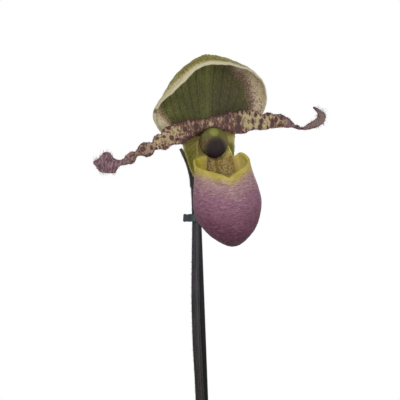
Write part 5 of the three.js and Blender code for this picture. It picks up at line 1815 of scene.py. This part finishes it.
def add_pouch():
    """The slipper, a thin-walled pouch with a rolled rim, two ears and a back wall up to the column."""
    turns = np.linspace(-180, 180, 260, endpoint=False)
    rows = 84
    shares = np.r_[0.03, 1 - (1 - np.linspace(0, 1, rows)[1:]) ** 1.15]
    u, turn = np.meshgrid(shares, turns, indexing="ij")
    outer, below = pouch_skin(u, turn)
    creases = 0.07 * roughness_at(outer * np.array([1, 1, 2.4]), 1.6)
    creases = creases + 0.18 * roughness_at(outer, 7, 5.0)
    out = unit(outer - np.array([0, POUCH_MIDDLE_Y, -28]))
    skin = outer + out * (creases * smooth(below, 0.3, 2.5))[..., None]
    wall = POUCH_WALL * (1 + 0.25 * bump(below, 0.6, 0.9))
    lining = pouch_lining(outer, wall)
    lip, _ = pouch_skin(np.ones_like(turns), turns)
    rim_rings = []
    for roll in (0.2, 0.5, 0.8):
        across = lerp(lip, lining[-1], roll)
        across[:, 2] += 0.32 * math.sin(math.pi * roll)
        rim_rings.append(across)
    rings = [*skin, *rim_rings, *lining[:0:-1]]
    place_turn = np.abs(turns) / 180
    places = [xyz(s, place_turn, 1) for s in shares]
    places += [xyz(1, place_turn, 1 - 2 * roll) for roll in (0.2, 0.5, 0.8)]
    places += [xyz(s, place_turn, -1) for s in shares[:0:-1]]
    ends = [ring.mean(axis=0) for ring in (rings[0], rings[-1])]
    shape = tube(rings, places, ends, ((0, 0, 1), (0, 0, -1)))
    rim_below = np.zeros((3, len(turns)))
    below = np.concatenate([below, rim_below, below[:0:-1]]).ravel()
    below = np.r_[below, 30, 30]
    side = shape.all_places()[:, 1] * 180
    wall_share = smooth(side, 126, 142)
    ear_share = smooth(side, 60, 90) * (1 - smooth(side, 118, 130)) * smooth(below, 0.8, 3)
    ear_share = ear_share * np.where(shape.all_points()[:, 0] > 0, 1, 0.25)
    tones = xyz(below, wall_share, ear_share)
    add_flower_piece("slipper_pouch", shape, "pouch", ["pouch"], tones)


# Column and its shield
SHIELD_Y = -5.6
SHIELD_Z = -5.6
SHIELD_HALF_WIDTH = 5.7
SHIELD_RISE = 5.8
SHIELD_DROP = 5.9
SHIELD_BULGE = 2.9
SHIELD_FRONT_RINGS = 34


def add_column():
    """The short thick column."""
    line = Line([[0, 2.6, -2.8], [0, 1, -2.9], [0, -4.4, -4.4]])
    stem = rod(line, even(36), 40, lambda share, turn: lerp(2.6, 2, share) * (1 + 0.03 * np.cos(5 * turn)))
    add_flower_piece("column_body", stem, "column", ["column"])


def add_shield():
    """The round, domed shield in front of the column, drawn to a blunt point below."""
    turns = full_turn(120)
    below = np.maximum(-np.sin(turns), 0)
    x = np.cos(turns) * (1 - 0.16 * below**2)
    z = np.sin(turns)
    heights = np.where(z > 0, SHIELD_RISE * z, SHIELD_DROP * z)
    rings, places, tones = [], [], []
    steps = np.sin(np.linspace(0.02, 1, SHIELD_FRONT_RINGS) * math.pi / 2)
    for k, share in enumerate([*steps, 0.985, 0.95, 0.8, 0.5, 0.25]):
        front = k < SHIELD_FRONT_RINGS
        across, up = share * x, share * z
        if front:
            dome = SHIELD_BULGE * np.sqrt(np.maximum(1 - share**2.2, 0.0)) + 0.12
            knob = 0.35 * bump(np.hypot(across, up - 0.5), 0, 0.24)
            groove = 0.28 * bump(across, 0, 0.1) * smooth(-up, -0.2, 0.4) * (1 - smooth(share, 0.75, 0.95))
            y = SHIELD_Y - dome - knob + groove
        else:
            y = SHIELD_Y + 0.12
        rings.append(xyz(SHIELD_HALF_WIDTH * across, y, SHIELD_Z + share * heights))
        places.append(xyz(share, turns / math.pi - 1, 1 if front else -1))
        tones.append(xyz(across, up, share))
    shape = tube(rings, places, [ring.mean(axis=0) for ring in (rings[0], rings[-1])])
    tones = np.concatenate([*tones, np.zeros((2, 3))])
    add_flower_piece("shield", shape, "shield", ["column_shield"], tones)


def make_plant():
    add_pot()
    add_bark()
    for row in SHOOTS:
        add_shoot(*row)
    for number, row in enumerate(LEAVES, 1):
        add_leaf(number, row)
    add_stalk()
    add_stake()
    add_tie()
    add_bract()
    add_ovary()
    add_hood()
    add_bib()
    for name, petal in PETALS.items():
        add_petal(name, **petal)
    add_pouch()
    add_column()
    add_shield()


# Floor, light and camera
FLOOR_RADIUS = 1.9
FLOOR_GAP = 0.0002


def paint_floor(nodes):
    place = nodes.add("ShaderNodeTexCoord", {}, "Object")
    cloud = nodes.noise(place, 0.7, 2.0)
    return nodes.blend(cloud, 0xE9E7E2, 0xF1EFEB), nodes.rough(cloud, 0.75, 0.85), None


def make_floor():
    mesh = bpy.data.meshes.new("floor")
    work = bmesh.new()
    bmesh.ops.create_circle(work, cap_ends=True, radius=FLOOR_RADIUS, segments=128)
    work.to_mesh(mesh)
    work.free()
    floor = bpy.data.objects.new("floor", mesh)
    floor.location.z = -FLOOR_GAP
    bpy.context.scene.collection.objects.link(floor)
    mesh.materials.append(new_finish("pale_floor", paint_floor))


def add_light(name, place, aim, size, watts, colour):
    lamp = bpy.data.lights.new(name, "AREA")
    lamp.shape = "DISK"
    lamp.size = size
    lamp.energy = watts
    lamp.color = colour
    light = bpy.data.objects.new(name, lamp)
    light.location = place
    light.rotation_euler = (Vector(aim) - Vector(place)).to_track_quat("-Z", "Y").to_euler()
    light.visible_camera = False
    bpy.context.scene.collection.objects.link(light)


def make_light():
    """A white room, which looks pure white to the camera and lights a little less, and three soft lamps."""
    flower = tuple(FLOWER_PLACE * MM)
    add_light("key", (-0.35, -1.15, 0.75), flower, 0.7, 6.6, (1, 0.985, 0.96))
    add_light("fill", (1.0, -0.9, 0.45), flower, 0.9, 3.2, (0.97, 0.98, 1))
    add_light("back", (0.4, 1.0, 0.9), flower, 0.8, 5.0, (1, 1, 1))
    world = bpy.data.worlds.new("room")
    bpy.context.scene.world = world
    world.use_nodes = True
    nodes = Nodes(world.node_tree)
    world.node_tree.nodes.clear()
    seen = nodes.add("ShaderNodeLightPath", {}, "Is Camera Ray")
    strength = nodes.ease(seen, 0.0, 1.0, 0.5, 1.0)
    white = nodes.add("ShaderNodeBackground", {"Color": (1, 1, 1, 1), "Strength": strength})
    nodes.add("ShaderNodeOutputWorld", {"Surface": white}, ())
    bpy.context.scene.view_settings.view_transform = "Standard"


def make_camera():
    camera = bpy.data.cameras.new("camera")
    camera.sensor_width = SENSOR
    camera.lens = SENSOR * CAMERA_DISTANCE / (PIXEL * PHOTO_SIDE)
    camera.clip_start = 0.05
    camera.clip_end = 20
    holder = bpy.data.objects.new("camera", camera)
    holder.location = CAMERA_PLACE * MM
    holder.rotation_euler = (math.pi / 2, 0, 0)
    bpy.context.scene.collection.objects.link(holder)
    bpy.context.scene.camera = holder


make_plant()
make_floor()
make_light()
make_camera()
